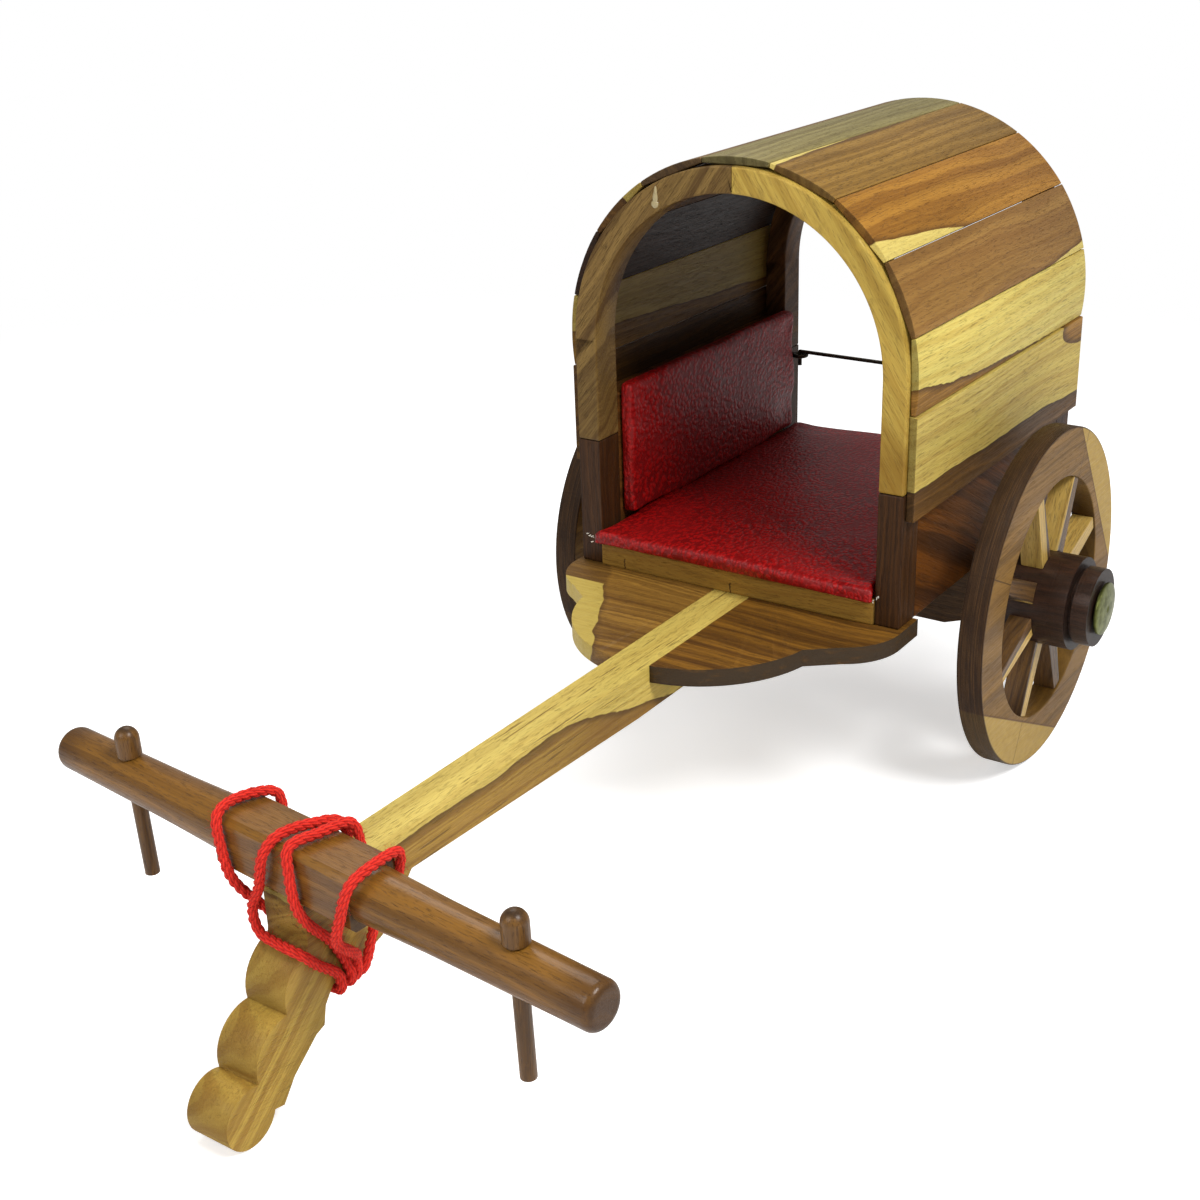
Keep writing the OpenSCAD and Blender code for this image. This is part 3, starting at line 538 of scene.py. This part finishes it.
def wedge(n):
    """Pale sapwood corners on slats 7, 8 and 9, and painted shade on the inner faces that face into the cabin."""
    turn = math.radians(22 * (n - 6) if abs(n - 6) < 5 else 90 * (1 if n > 6 else -1))
    inward = D(0, -math.sin(turn), -math.cos(turn))
    lines = {7: (-6.0, -0.03, 44, -1), 8: (3.2, 0.12, 43, 1), 9: (5.6, -0.10, -40, 1)}

    def paint(k, p, col, height, tc):
        x, y, z = k.xyz(p)
        if n in lines:
            y0, slope, x0, side = lines[n]
            bend = k.m("MULTIPLY", k.m("SUBTRACT", k.noise(p, (0.05, 0.3, 0.3), 2), 0.5), 2.0)
            d = k.m("SUBTRACT", k.m("ADD", y, bend), k.m("ADD", y0, k.m("MULTIPLY", k.m("SUBTRACT", x0, x), slope)))
            d = k.m("MULTIPLY", d, side)
            f = k.ramp(d, -0.1, 0.15)
            pale = k.mix(k.noise(p, (0.07, 1.8, 1.8), 3), rgb(228, 210, 122), rgb(196, 168, 84))
            rim = k.m("MULTIPLY", k.ramp(d, -1.3, 0), k.m("SUBTRACT", 1, f))
            col = k.mix(k.m("MULTIPLY", rim, 0.75), col, rgb(84, 54, 24))
            col = k.mix(f, col, pale)
        # painted shade: faces turned into the cabin are darkened towards near-black
        painted_inner_shade = k.ramp(k.vm("DOT_PRODUCT", tc.outputs["Normal"], tuple(inward)), 0.5, 0.8)
        col = k.mix(k.m("MULTIPLY", painted_inner_shade, 0.62), col, rgb(26, 17, 9))
        if n in (10, 11):
            jag = k.m("ADD", k.m("MULTIPLY", k.m("SUBTRACT", k.noise(p, (0.05, 0.2, 0.2), 2), 0.5), 2.5),
                      k.m("MULTIPLY", k.m("SUBTRACT", k.noise(p, (0.35, 0.9, 0.9), 2), 0.5), 0.8))
            if n == 10:
                line = k.m("MINIMUM", k.m("SUBTRACT", 8.1, k.m("MULTIPLY", x, 0.14)),
                           k.m("SUBTRACT", 6.2, k.m("MULTIPLY", x, 0.03)))
                d = k.m("SUBTRACT", k.m("ADD", y, jag), line)
            else:
                round_ = k.vm("LENGTH", k.vm("MULTIPLY", k.vm("SUBTRACT", p, (-41, 7.5, 0)), (0.09, 0.25, 0)))
                d = k.m("MULTIPLY", k.m("SUBTRACT", k.m("SUBTRACT", 1, round_), k.m("MULTIPLY", jag, 0.12)), 4)
            brown, rough, h2 = grain(k, p, 0.0, SAP, SAP2, rgb(166, 122, 54), rgb(104, 68, 30), -999, 0,
                                     1.5, n + 0.7, 0.9, 0.5, 0.2)
            rim = k.m("MULTIPLY", k.ramp(d, 1.5, 0.0), k.ramp(d, -0.1, 0.05))
            brown = k.mix(k.m("MULTIPLY", rim, 0.8), brown, rgb(66, 42, 20))
            col = k.mix(k.ramp(d, -0.12, 0.1), col, brown)
        return col, height
    return paint


def wheel_paint(k, p, col, height, tc):
    """Straight-cut sapwood corners on a rim, and the radial joints between its pieces."""
    x, y, z = k.xyz(p)
    for a, far in ((33.0, 27.8), (243.0, 26.6)):
        c, s = math.cos(math.radians(a)), math.sin(math.radians(a))
        d = k.m("SUBTRACT", k.m("ADD", k.m("MULTIPLY", x, c), k.m("MULTIPLY", y, s)), far)
        f = k.ramp(d, -0.12, 0.12)
        pale = k.mix(k.noise(p, (0.5, 1.2, 0.5), 3), rgb(190, 158, 82), rgb(160, 128, 60))
        col = k.mix(f, col, pale)
        col = k.mix(k.ramp(k.m("ABSOLUTE", d), 0.35, 0.0), col, rgb(96, 64, 30))
    ang = k.m("ARCTAN2", y, x)
    for a in (64, 154, 244, 334):
        a = math.radians(a - 360 if a > 180 else a)
        d = k.m("ABSOLUTE", k.m("SUBTRACT", ang, a))
        f = k.ramp(k.m("MULTIPLY", d, 30), 0.16, 0.05)
        col = k.mix(k.m("MULTIPLY", f, 0.7), col, rgb(48, 28, 14))
        height = k.m("SUBTRACT", height, k.m("MULTIPLY", f, 0.8))
    # the tread is darker, and finely ridged round the wheel
    r = k.m("SQRT", k.m("ADD", k.m("MULTIPLY", x, x), k.m("MULTIPLY", y, y)))
    tread = k.ramp(r, 35.55, 35.85)
    ridge = k.line(k.m("MULTIPLY", z, 5.5), 2, 0.6)
    grime = k.noise(p, (0.12, 0.12, 1.4), 3)
    brown = k.mix(k.ramp(grime, 0.35, 0.65), rgb(82, 56, 32), rgb(52, 34, 22))
    brown = k.mix(k.ramp(ridge, 0.4, 0.6), brown, rgb(40, 25, 15))
    col = k.mix(k.m("MULTIPLY", tread, 0.92), col, brown)
    height = k.m("ADD", height, k.m("MULTIPLY", k.m("MULTIPLY", ridge, tread), 2.0))
    return col, height


def wheels():
    for s, side in ((1, "left"), (-1, "right")):
        give("rim_" + side, wood("rim_%s_wood" % side, (0, 48.2 * s, 0), (-1, 0, 0), Z, heart=rgb(138, 102, 46),
                                 line=rgb(94, 66, 28), seed=41 + s, ring=0.22, wave=2.5,
                                 extra=wheel_paint), bevel=0.3)
        give("spokes_" + side, spoke_wood("spokes_%s_wood" % side, 48.2 * s, 45 + s), bevel=0.2)
        give("hub_" + side, wood("hub_%s_wood" % side, (0, 48.2 * s, 0), Y, Z, heart=rgb(64, 40, 26),
                                 line=rgb(34, 21, 13), seed=51 + s, ring=0.9, coat=0.3, gloss=0.28,
                                 extra=lathe), bevel=0)
        give("tack_" + side, brass("tack_%s_brass" % side), bevel=0.12)


def lathe(k, p, col, height, tc):
    x, y, z = k.xyz(p)
    marks = k.line(k.m("MULTIPLY", x, 2.6), 3, 0.65)
    return col, k.m("ADD", height, k.m("MULTIPLY", marks, 1.2))


def spoke_wood(name, y0, seed):
    """Each spoke is cut from its own stick, so its tone follows its angle round the hub."""
    mat, k, b = principled(name)
    p, end, tc = coords(k, L(0, y0, 0), D(1, 0, 0), D(0, 0, 1))
    x, y, z = k.xyz(p)
    ang = k.m("ARCTAN2", y, x)
    turn = k.m("DIVIDE", k.m("SUBTRACT", ang, math.radians(25)), math.tau / 8)
    index = k.m("ROUND", turn)
    back = k.m("MULTIPLY", k.m("SUBTRACT", turn, index), math.tau / 8)
    r = k.m("SQRT", k.m("ADD", k.m("MULTIPLY", x, x), k.m("MULTIPLY", y, y)))
    across = k.m("MULTIPLY", r, k.m("SINE", back))
    number = k.m("FLOORED_MODULO", index, 8)
    q = k.join(k.m("ADD", r, k.m("MULTIPLY", number, 51)), k.m("ADD", across, k.m("MULTIPLY", number, 9)), z)
    n = k.t.nodes.new("ShaderNodeGroup")
    n.node_tree = WOOD
    edge = k.m("ADD", k.m("MULTIPLY", number, 9), k.m("SUBTRACT", k.m("MULTIPLY", k.m("FRACT", k.m("MULTIPLY", number, 0.62)), 5), 2.2))
    for key, val in (("P", q), ("Sap", rgb(206, 172, 90)), ("SapLine", rgb(168, 130, 58)),
                     ("Heart", rgb(118, 84, 42)), ("HeartLine", rgb(54, 36, 20)), ("Edge", edge),
                     ("Slope", 0.0), ("Wave", 0.9), ("Seed", float(seed)), ("Figure", 0.9), ("Ring", 0.9),
                     ("End", 0.0), ("Fleck", 0.5)):
        k.put(n.inputs[key], val)
    k.link(n.outputs["Color"], b.inputs["Base Color"])
    k.link(n.outputs["Rough"], b.inputs["Roughness"])
    b.inputs["Coat Weight"].default_value = 0.1
    b.inputs["Coat Roughness"].default_value = 0.35
    bump(k, b, n.outputs["Height"], 0.00007)
    return mat


def brass(name):
    mat, k, b = principled(name)
    tc = k.t.nodes.new("ShaderNodeTexCoord")
    p = k.vm("SCALE", tc.outputs["Object"], 1000.0)
    tarnish = k.noise(p, (0.5, 0.5, 0.5), 4, 0.6)
    spots = k.ramp(k.noise(p, (2.2, 2.2, 2.2), 2), 0.62, 0.72)
    col = k.mix(k.ramp(tarnish, 0.35, 0.7), rgb(118, 122, 68), rgb(90, 94, 52))
    col = k.mix(k.m("MULTIPLY", spots, 0.5), col, rgb(70, 62, 40))
    k.link(col, b.inputs["Base Color"])
    b.inputs["Metallic"].default_value = 1
    k.link(k.ramp(tarnish, 0.3, 0.7, 0.28, 0.46, False), b.inputs["Roughness"])
    bump(k, b, k.noise(p, (0.9, 0.9, 0.9), 3), 0.00006)
    return mat


def wire():
    mat, k, b = principled("dark_wire")
    tc = k.t.nodes.new("ShaderNodeTexCoord")
    p = k.vm("SCALE", tc.outputs["Object"], 1000.0)
    n = k.noise(p, (1.5, 1.5, 1.5), 4, 0.6)
    k.link(k.mix(k.ramp(n, 0.4, 0.7), rgb(52, 50, 44), rgb(84, 70, 52)), b.inputs["Base Color"])
    b.inputs["Metallic"].default_value = 0.8
    k.link(k.ramp(n, 0.3, 0.7, 0.35, 0.6, False), b.inputs["Roughness"])
    bump(k, b, n, 0.00004)
    for node in ("rear_hook", "rear_eyes"):
        give(node, mat, bevel=0)


def yoke_wood():
    skew = math.radians(6)
    u, v = (math.sin(skew), math.cos(skew), 0), (-math.cos(skew) * 0.6, math.sin(skew) * 0.6, 0.8)
    give("yoke", wood("yoke_wood", (171.3, 1.4, 11.3), u, v, heart=rgb(140, 96, 34), line=rgb(88, 56, 20),
                      seed=61, ring=0.3, figure=0.7, wave=2.2, coat=0.35, gloss=0.2, extra=yoke_ends), bevel=0.5, segments=3)
    for i, side in enumerate(("left", "right")):
        give("yoke_peg_" + side, wood("peg_%s_wood" % side, (171, 0, 11), Z, X, heart=rgb(122, 84, 36),
                                      line=rgb(74, 48, 20), seed=63 + i, ring=1.0, coat=0.4), bevel=0)


def yoke_ends(k, p, col, height, tc):
    """The end grain and the last few millimetres of each end have soaked up more varnish."""
    x, y, z = k.xyz(p)
    f = k.ramp(k.m("ABSOLUTE", x), 49, 57.5)
    return k.mix(k.m("MULTIPLY", f, 0.62), col, rgb(66, 40, 18)), height


# ---------------------------------------------------------------- red leatherette
def leatherette():
    mat, k, b = principled("red_leatherette")
    tc = k.t.nodes.new("ShaderNodeTexCoord")
    p = k.vm("SCALE", tc.outputs["Object"], 1000.0)
    warp = k.vm("ADD", p, k.vm("SCALE", k.join(k.noise(p, (0.5, 0.5, 0.5), 2), k.noise(p, (0.4, 0.6, 0.5), 2), 0.0), 1.6))
    cells = k.ramp(k.voronoi(k.vm("MULTIPLY", warp, (1, 1.6, 1)), 0.85), 0.0, 0.75)
    fine = k.voronoi(warp, 2.1)
    pebble = k.m("ADD", k.m("MULTIPLY", k.m("POWER", cells, 1.4), -0.75), k.m("MULTIPLY", fine, -0.3))
    soft = k.noise(p, (0.08, 0.08, 0.08), 3)
    # painted shade: the crevices between the grain's pebbles are coloured darker
    col = k.mix(k.ramp(cells, 0.45, 1.0), rgb(166, 11, 11), rgb(116, 6, 8))
    col = k.mix(k.m("MULTIPLY", k.ramp(soft, 0.3, 0.7), 0.5), col, rgb(146, 9, 10))
    k.link(col, b.inputs["Base Color"])
    k.link(k.ramp(k.m("ADD", fine, soft), 0.5, 1.3, 0.34, 0.5, False), b.inputs["Roughness"])
    b.inputs["Specular IOR Level"].default_value = 0.3
    b.inputs["Coat Weight"].default_value = 0.05
    b.inputs["Coat Roughness"].default_value = 0.3
    bump(k, b, pebble, 0.00016)
    return mat


def grid_box(lo, hi, step, radius):
    """A box of square faces with rounded edges, in its own millimetres."""
    size = hi - lo
    counts = [max(2, round(s / step)) for s in size]
    if counts[2] < 5:
        counts[2] = 5
    lines = []
    for a in range(3):
        n = counts[a]
        lines.append([size[a] * i / n - size[a] / 2 for i in range(n + 1)])
    bm = bmesh.new()
    index = {}

    def vert(i, j, l):
        key = (i, j, l)
        if key not in index:
            index[key] = bm.verts.new((lines[0][i], lines[1][j], lines[2][l]))
        return index[key]
    nx, ny, nz = counts
    for i in range(nx):
        for j in range(ny):
            for l, flip in ((0, True), (nz, False)):
                q = [vert(i, j, l), vert(i + 1, j, l), vert(i + 1, j + 1, l), vert(i, j + 1, l)]
                bm.faces.new(q[::-1] if flip else q)
    for i in range(nx):
        for l in range(nz):
            for j, flip in ((0, False), (ny, True)):
                q = [vert(i, j, l), vert(i + 1, j, l), vert(i + 1, j, l + 1), vert(i, j, l + 1)]
                bm.faces.new(q[::-1] if flip else q)
    for j in range(ny):
        for l in range(nz):
            for i, flip in ((0, True), (nx, False)):
                q = [vert(i, j, l), vert(i, j + 1, l), vert(i, j + 1, l + 1), vert(i, j, l + 1)]
                bm.faces.new(q[::-1] if flip else q)
    inner = size / 2 - Vector((radius,) * 3)
    for v in bm.verts:
        c = Vector([max(-inner[a], min(inner[a], v.co[a])) for a in range(3)])
        d = v.co - c
        if d.length > 1e-9:
            v.co = c + d.normalized() * radius
    return bm


def puff(o, held, cap, scale):
    """Blows the cover up with cloth pressure, and keeps each point within cap of where it was."""
    bpy.context.view_layer.objects.active = o
    start = [v.co.copy() for v in o.data.vertices]
    g = o.vertex_groups.new(name="held")
    for i, w in held.items():
        g.add([i], w, "REPLACE")
    c = o.modifiers.new("cloth", "CLOTH")
    s = c.settings
    s.quality = 5
    s.mass = 0.3
    s.use_pressure = True
    s.uniform_pressure_force = 5
    s.tension_stiffness = s.compression_stiffness = 12
    s.bending_stiffness = 1.5
    s.effector_weights.gravity = 0
    s.vertex_group_mass = "held"
    s.shrink_min = -0.012
    c.point_cache.frame_start, c.point_cache.frame_end = 1, 16
    scene = bpy.context.scene
    for f in range(1, 17):
        scene.frame_set(f)
    dg = bpy.context.evaluated_depsgraph_get()
    e = o.evaluated_get(dg)
    moved = [v.co.copy() for v in e.data.vertices]
    o.modifiers.remove(c)
    scene.frame_set(1)
    for v, a, m in zip(o.data.vertices, start, moved):
        d = m - a
        if not all(math.isfinite(q) for q in d):
            d = Vector()
        if d.length > cap:
            d = d * (cap / d.length)
        v.co = a + d


def cushion(name, node, lo, hi, place, step, radius, crown, cap, shape=None):
    """A thin foam pad under leatherette, as a rounded box in local millimetres, crowned then puffed."""
    scale = 8.0
    bm = grid_box(lo, hi, step, radius)
    size = hi - lo
    for v in bm.verts:
        a, b, c = (v.co[i] / (size[i] / 2) for i in range(3))
        lift = crown * max(0, 1 - a ** 4) * max(0, 1 - b ** 4)
        v.co.z += lift * max(0.0, c)
        v.co *= scale
    me = bpy.data.meshes.new(name)
    bm.to_mesh(me)
    bm.free()
    o = bpy.data.objects.new(name, me)
    bpy.context.scene.collection.objects.link(o)
    held = {v.index: 1.0 for v in me.vertices if v.co.z < -size[2] / 2 * scale * 0.55}
    puff(o, held, cap * scale, scale)
    mid = (lo + hi) / 2
    for v in me.vertices:
        p = v.co / scale
        if shape:
            p = shape(p, size)
        v.co = place(p + mid)
    sub = o.modifiers.new("smooth", "SUBSURF")
    sub.levels = sub.render_levels = 1
    for f in me.polygons:
        f.use_smooth = True
    me.materials.append(RED)
    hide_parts(node)
    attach(o, "cart")
    return o


def cushions():
    # seat: level box in millimetres, its front edge rolled over the board
    def seat_shape(p, size):
        a, b, c = p.x / (size.x / 2), p.y / (size.y / 2), p.z / (size.z / 2)
        n = noise.noise(Vector((p.x * 0.05, p.y * 0.05, 3.1)))
        p.z += 0.16 * n * (1 if c > 0 else 0)
        ripple = noise.noise(Vector((p.y * 0.42, p.x * 0.12, 9.0))) + 0.5 * noise.noise(Vector((p.y * 0.9, 4.0, 1.0)))
        near = max(0.0, min(1.0, (p.x - size.x / 2 + 5) / 5))
        p.z += 0.22 * ripple * near
        p.x += 0.18 * ripple * near
        # the front corners stand out past the posts as folded tips
        ahead = max(0.0, min(1.0, (p.x - (size.x / 2 - 3.2)) / 2.6))
        side = max(0.0, (abs(b) - 0.9) / 0.1)
        p.y += (1 if b > 0 else -1) * 1.9 * ahead * side
        p.z -= 0.25 * ahead * side
        return p

    cushion("seat_cushion_cover", "seat_cushion", Vector((-40.2, -31.5, 12.1)), Vector((47.7, 31.5, 15.2)),
            lambda p: L(p.x, p.y, p.z), 0.95, 1.35, 0.25, 0.5, seat_shape)

    for s, side in ((1, "left"), (-1, "right")):
        def side_shape(p, size):
            n = noise.noise(Vector((p.x * 0.06, p.y * 0.08, 5.0 * s)))
            fold = noise.noise(Vector((p.x * 0.35, p.y * 0.1, 2.0 * s)))
            edge = max(0.0, min(1.0, (abs(p.y) - size.y / 2 + 4) / 4))
            p.z += 0.14 * n + 0.12 * fold * edge
            return p

        # local x along the cart, y up, z away from the wall
        y_wall = 31.7 * s
        def place(p, y_wall=y_wall, s=s):
            return L(p.x, y_wall - s * p.z, p.y)
        o = cushion("side_cushion_%s_cover" % side, "side_cushion_" + side, Vector((-34.2, 15.8, 0.08)),
                    Vector((37.0, 44.8, 3.0)), place, 0.95, 1.2, 0.18, 0.4, side_shape)
        if s > 0:
            o.data.flip_normals()


def stitches():
    """White thread showing at the seat cushion's two front corners."""
    mat, k, b = principled("white_thread")
    tc = k.t.nodes.new("ShaderNodeTexCoord")
    n = k.noise(k.vm("SCALE", tc.outputs["Object"], 1000.0), (6, 6, 6), 3)
    k.link(k.mix(n, rgb(236, 232, 222), rgb(200, 190, 172)), b.inputs["Base Color"])
    b.inputs["Roughness"].default_value = 0.85
    bump(k, b, n, 0.00005)
    for s, side in ((1, "left"), (-1, "right")):
        ends = []
        for j in range(5):
            a = Vector((46.4 + rng.uniform(-0.5, 0.9), s * (32.2 + 0.35 * j), 12.6 + 0.35 * j))
            c = a + Vector((rng.uniform(0.2, 0.5), s * rng.uniform(0.0, 0.3), rng.uniform(-0.4, 0.3)))
            m = (a + c) / 2 + Vector((0.35, s * 0.2, 0.1))
            ends.append([a, m, c])
        tube_object("stitch_" + side, [[L(*p) for p in e] for e in ends], 0.00011, 6, mat, "cart")


# ---------------------------------------------------------------- yarn
def curve(p, steps):
    out = []
    for i in range(len(p) - 1):
        a, b, c, d = p[max(i - 1, 0)], p[i], p[i + 1], p[min(i + 2, len(p) - 1)]
        for s in range(steps):
            t = s / steps
            out.append(0.5 * ((2 * b) + (c - a) * t + (2 * a - 5 * b + 4 * c - d) * t * t
                              + (3 * b - a - 3 * c + d) * t * t * t))
    out.append(p[-1])
    return out


def even(points, step):
    out, left = [points[0]], step
    for a, b in zip(points, points[1:]):
        d = (b - a).length
        while left <= d and d > 0:
            out.append(a.lerp(b, left / d))
            a = out[-1]
            d = (b - a).length
            left = step
        left -= d
    return out


def frames(points):
    """A steady pair of cross directions at each point of a path."""
    n = len(points)
    t = [(points[min(i + 1, n - 1)] - points[max(i - 1, 0)]).normalized() for i in range(n)]
    u = t[0].orthogonal().normalized()
    out = []
    for i in range(n):
        u = (u - t[i] * u.dot(t[i])).normalized()
        out.append((t[i], u, t[i].cross(u)))
    return out


def tube_object(name, paths, radius, sides, mat, body, closed_ends=True):
    bm = bmesh.new()
    uv = bm.loops.layers.uv.new("UVMap")
    for path in paths:
        fr = frames(path)
        rings, run = [], 0.0
        runs = []
        for i, (p, (t, u, v)) in enumerate(zip(path, fr)):
            if i:
                run += (p - path[i - 1]).length
            runs.append(run)
            rings.append([bm.verts.new(p + radius * (math.cos(math.tau * k / sides) * u + math.sin(math.tau * k / sides) * v))
                          for k in range(sides)])
        for i in range(len(rings) - 1):
            for k in range(sides):
                j = (k + 1) % sides
                f = bm.faces.new((rings[i][k], rings[i][j], rings[i + 1][j], rings[i + 1][k]))
                f.smooth = True
                for loop, (r, q) in zip(f.loops, ((i, k), (i, k + 1), (i + 1, k + 1), (i + 1, k))):
                    loop[uv].uv = (runs[r] * 1000, q / sides)
        if closed_ends:
            bm.faces.new(rings[0][::-1])
            bm.faces.new(rings[-1])
    me = bpy.data.meshes.new(name)
    bm.to_mesh(me)
    bm.free()
    o = bpy.data.objects.new(name, me)
    bpy.context.scene.collection.objects.link(o)
    me.materials.append(mat)
    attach(o, body)
    return o


LASH = (171.3, 0, 6.7)
ROUTES = {
    "left": [(-7.4, -5.4, -1), (-6.9, -8.6, 5), (-6.4, -9.8, 9.6), (-1.4, -12.4, 10.3), (3.6, -12, 9.8),
             (4.3, -11.2, 4.4), (3.9, -9.6, -1), (0.4, -5.4, -7.4), (-3, -5, -13), (-3.2, -4.9, -17.3),
             (-3, 4.9, -17.4), (-2.9, 5.1, -14.2), (-0.2, 5, -8.6), (4.2, 5.3, -3), (6, 5, 1), (6, 4.4, 6),
             (5, 4, 10.1), (0, 5.4, 10.4), (-4.8, 7.2, 10.2), (-5.6, 8, 5.4)],
    "right": [(-6.3, 1.6, -17.2), (-6.4, 5, -17.1), (-8, 7.2, -8), (-6.4, 12, -1.4), (-4, 16, 4),
              (-3.1, 17.6, 9.4), (2, 17.8, 10.3), (6.8, 17, 8.8), (7.3, 15, 3), (6, 12.6, -2.4),
              (0.4, 9.6, -8.4), (-4.2, 6, -13.2), (-4.7, 4.9, -17.4), (-4.7, 1.6, -17.4)],
    "middle": [(-6.8, 5.2, -2), (-6, 5, 4), (-5.2, 4.8, 9.4), (-1.4, 2.4, 10.3), (3.6, 0.6, 10.3),
               (5.7, -1, 7.4), (5.7, -2.6, 1.6), (5.3, -5, -3), (5.3, -4.2, -6.8), (5.9, 0, -7.2),
               (5.9, 5, -7.6), (3, 5.1, -11), (-0.8, 5.1, -14.8), (-1.2, 4.9, -17.9), (-1.3, 1.6, -17.9)],
}


def yarn():
    mat, k, b = principled("red_yarn")
    uv = k.t.nodes.new("ShaderNodeUVMap")
    uv.uv_map = "UVMap"
    x, y, z = k.xyz(uv.outputs[0])
    tc = k.t.nodes.new("ShaderNodeTexCoord")
    p = k.vm("SCALE", tc.outputs["Object"], 1000.0)
    stripe = k.m("SINE", k.m("MULTIPLY", k.m("ADD", k.m("MULTIPLY", x, 0.9), k.m("MULTIPLY", y, 5.0)), math.tau))
    fluff = k.noise(p, (5, 5, 5), 3, 0.7)
    h = k.m("ADD", k.m("MULTIPLY", stripe, 0.35), fluff)
    # painted shade: the twist's grooves, where the stripe dips, are coloured darker than its crowns
    col = k.mix(k.ramp(h, 0.0, 0.8), rgb(186, 14, 8), rgb(244, 48, 30))
    k.link(col, b.inputs["Base Color"])
    b.inputs["Roughness"].default_value = 0.9
    b.inputs["Sheen Weight"].default_value = 0.5
    b.inputs["Sheen Roughness"].default_value = 0.5
    b.inputs["Sheen Tint"].default_value = rgb(255, 90, 70)
    bump(k, b, h, 0.00012)
    for name, route in ROUTES.items():
        pts = [L(*(Vector(q) + Vector(LASH))) for q in route]
        path = even(curve(pts, 14), 0.00032)
        fr = frames(path)
        plies = []
        for ply in range(3):
            line = []
            for i, (q, (t, u, v)) in enumerate(zip(path, fr)):
                a = math.tau * (i * 0.32 / 4.2 + ply / 3)
                line.append(q + 0.0004 * (math.cos(a) * u + math.sin(a) * v))
            plies.append(line)
        o = tube_object("yarn_" + name, plies, 0.00048, 7, mat, "cart")
        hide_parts("lashing")
        hairs = []
        for _ in range(int(len(path) * 2.2)):
            i = rng.randrange(2, len(path) - 2)
            t, u, v = fr[i]
            a = rng.uniform(0, math.tau)
            out = math.cos(a) * u + math.sin(a) * v
            base = path[i] + out * 0.00078
            tip = base + (out * rng.uniform(0.3, 0.9) + t * rng.uniform(-0.9, 0.9)).normalized() * rng.uniform(0.0003, 0.0010)
            hairs.append([base, (base + tip) / 2 + out * 0.0001, tip])
        tube_object("yarn_fuzz_" + name, hairs, 0.000018, 3, mat, "cart", False)


def drip():
    """A run of dried glue under the hoop's seam."""
    mat, k, b = principled("dried_glue")
    tc = k.t.nodes.new("ShaderNodeTexCoord")
    n = k.noise(k.vm("SCALE", tc.outputs["Object"], 1000.0), (1.5, 1.5, 1.5), 3)
    k.link(k.mix(n, rgb(182, 168, 126), rgb(156, 138, 92)), b.inputs["Base Color"])
    b.inputs["Roughness"].default_value = 0.22
    b.inputs["Coat Weight"].default_value = 0.4
    bump(k, b, n, 0.00008)
    bm = bmesh.new()
    for y, z, ry, rz in ((-16.8, 85.2, 0.6, 1.2), (-16.9, 83.9, 0.8, 0.8), (-16.7, 86.4, 0.35, 0.9)):
        m = Matrix.Translation((44.5, y, z)) @ Matrix.Diagonal((0.2, ry, rz, 1))
        bmesh.ops.create_icosphere(bm, subdivisions=3, radius=1, matrix=m)
    for v in bm.verts:
        v.co += Vector((0.0, 0.12, 0.15)) * noise.noise(v.co * 1.3)
        v.co = L(*v.co)
    me = bpy.data.meshes.new("glue_drip")
    bm.to_mesh(me)
    for f in me.polygons:
        f.use_smooth = True
    me.materials.append(mat)
    o = bpy.data.objects.new("glue_drip", me)
    bpy.context.scene.collection.objects.link(o)
    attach(o, "cart")


camera()
lights()
floor()
body_wood()
roof()
wheels()
wire()
yoke_wood()
RED = leatherette()
cushions()
stitches()
yarn()
drip()
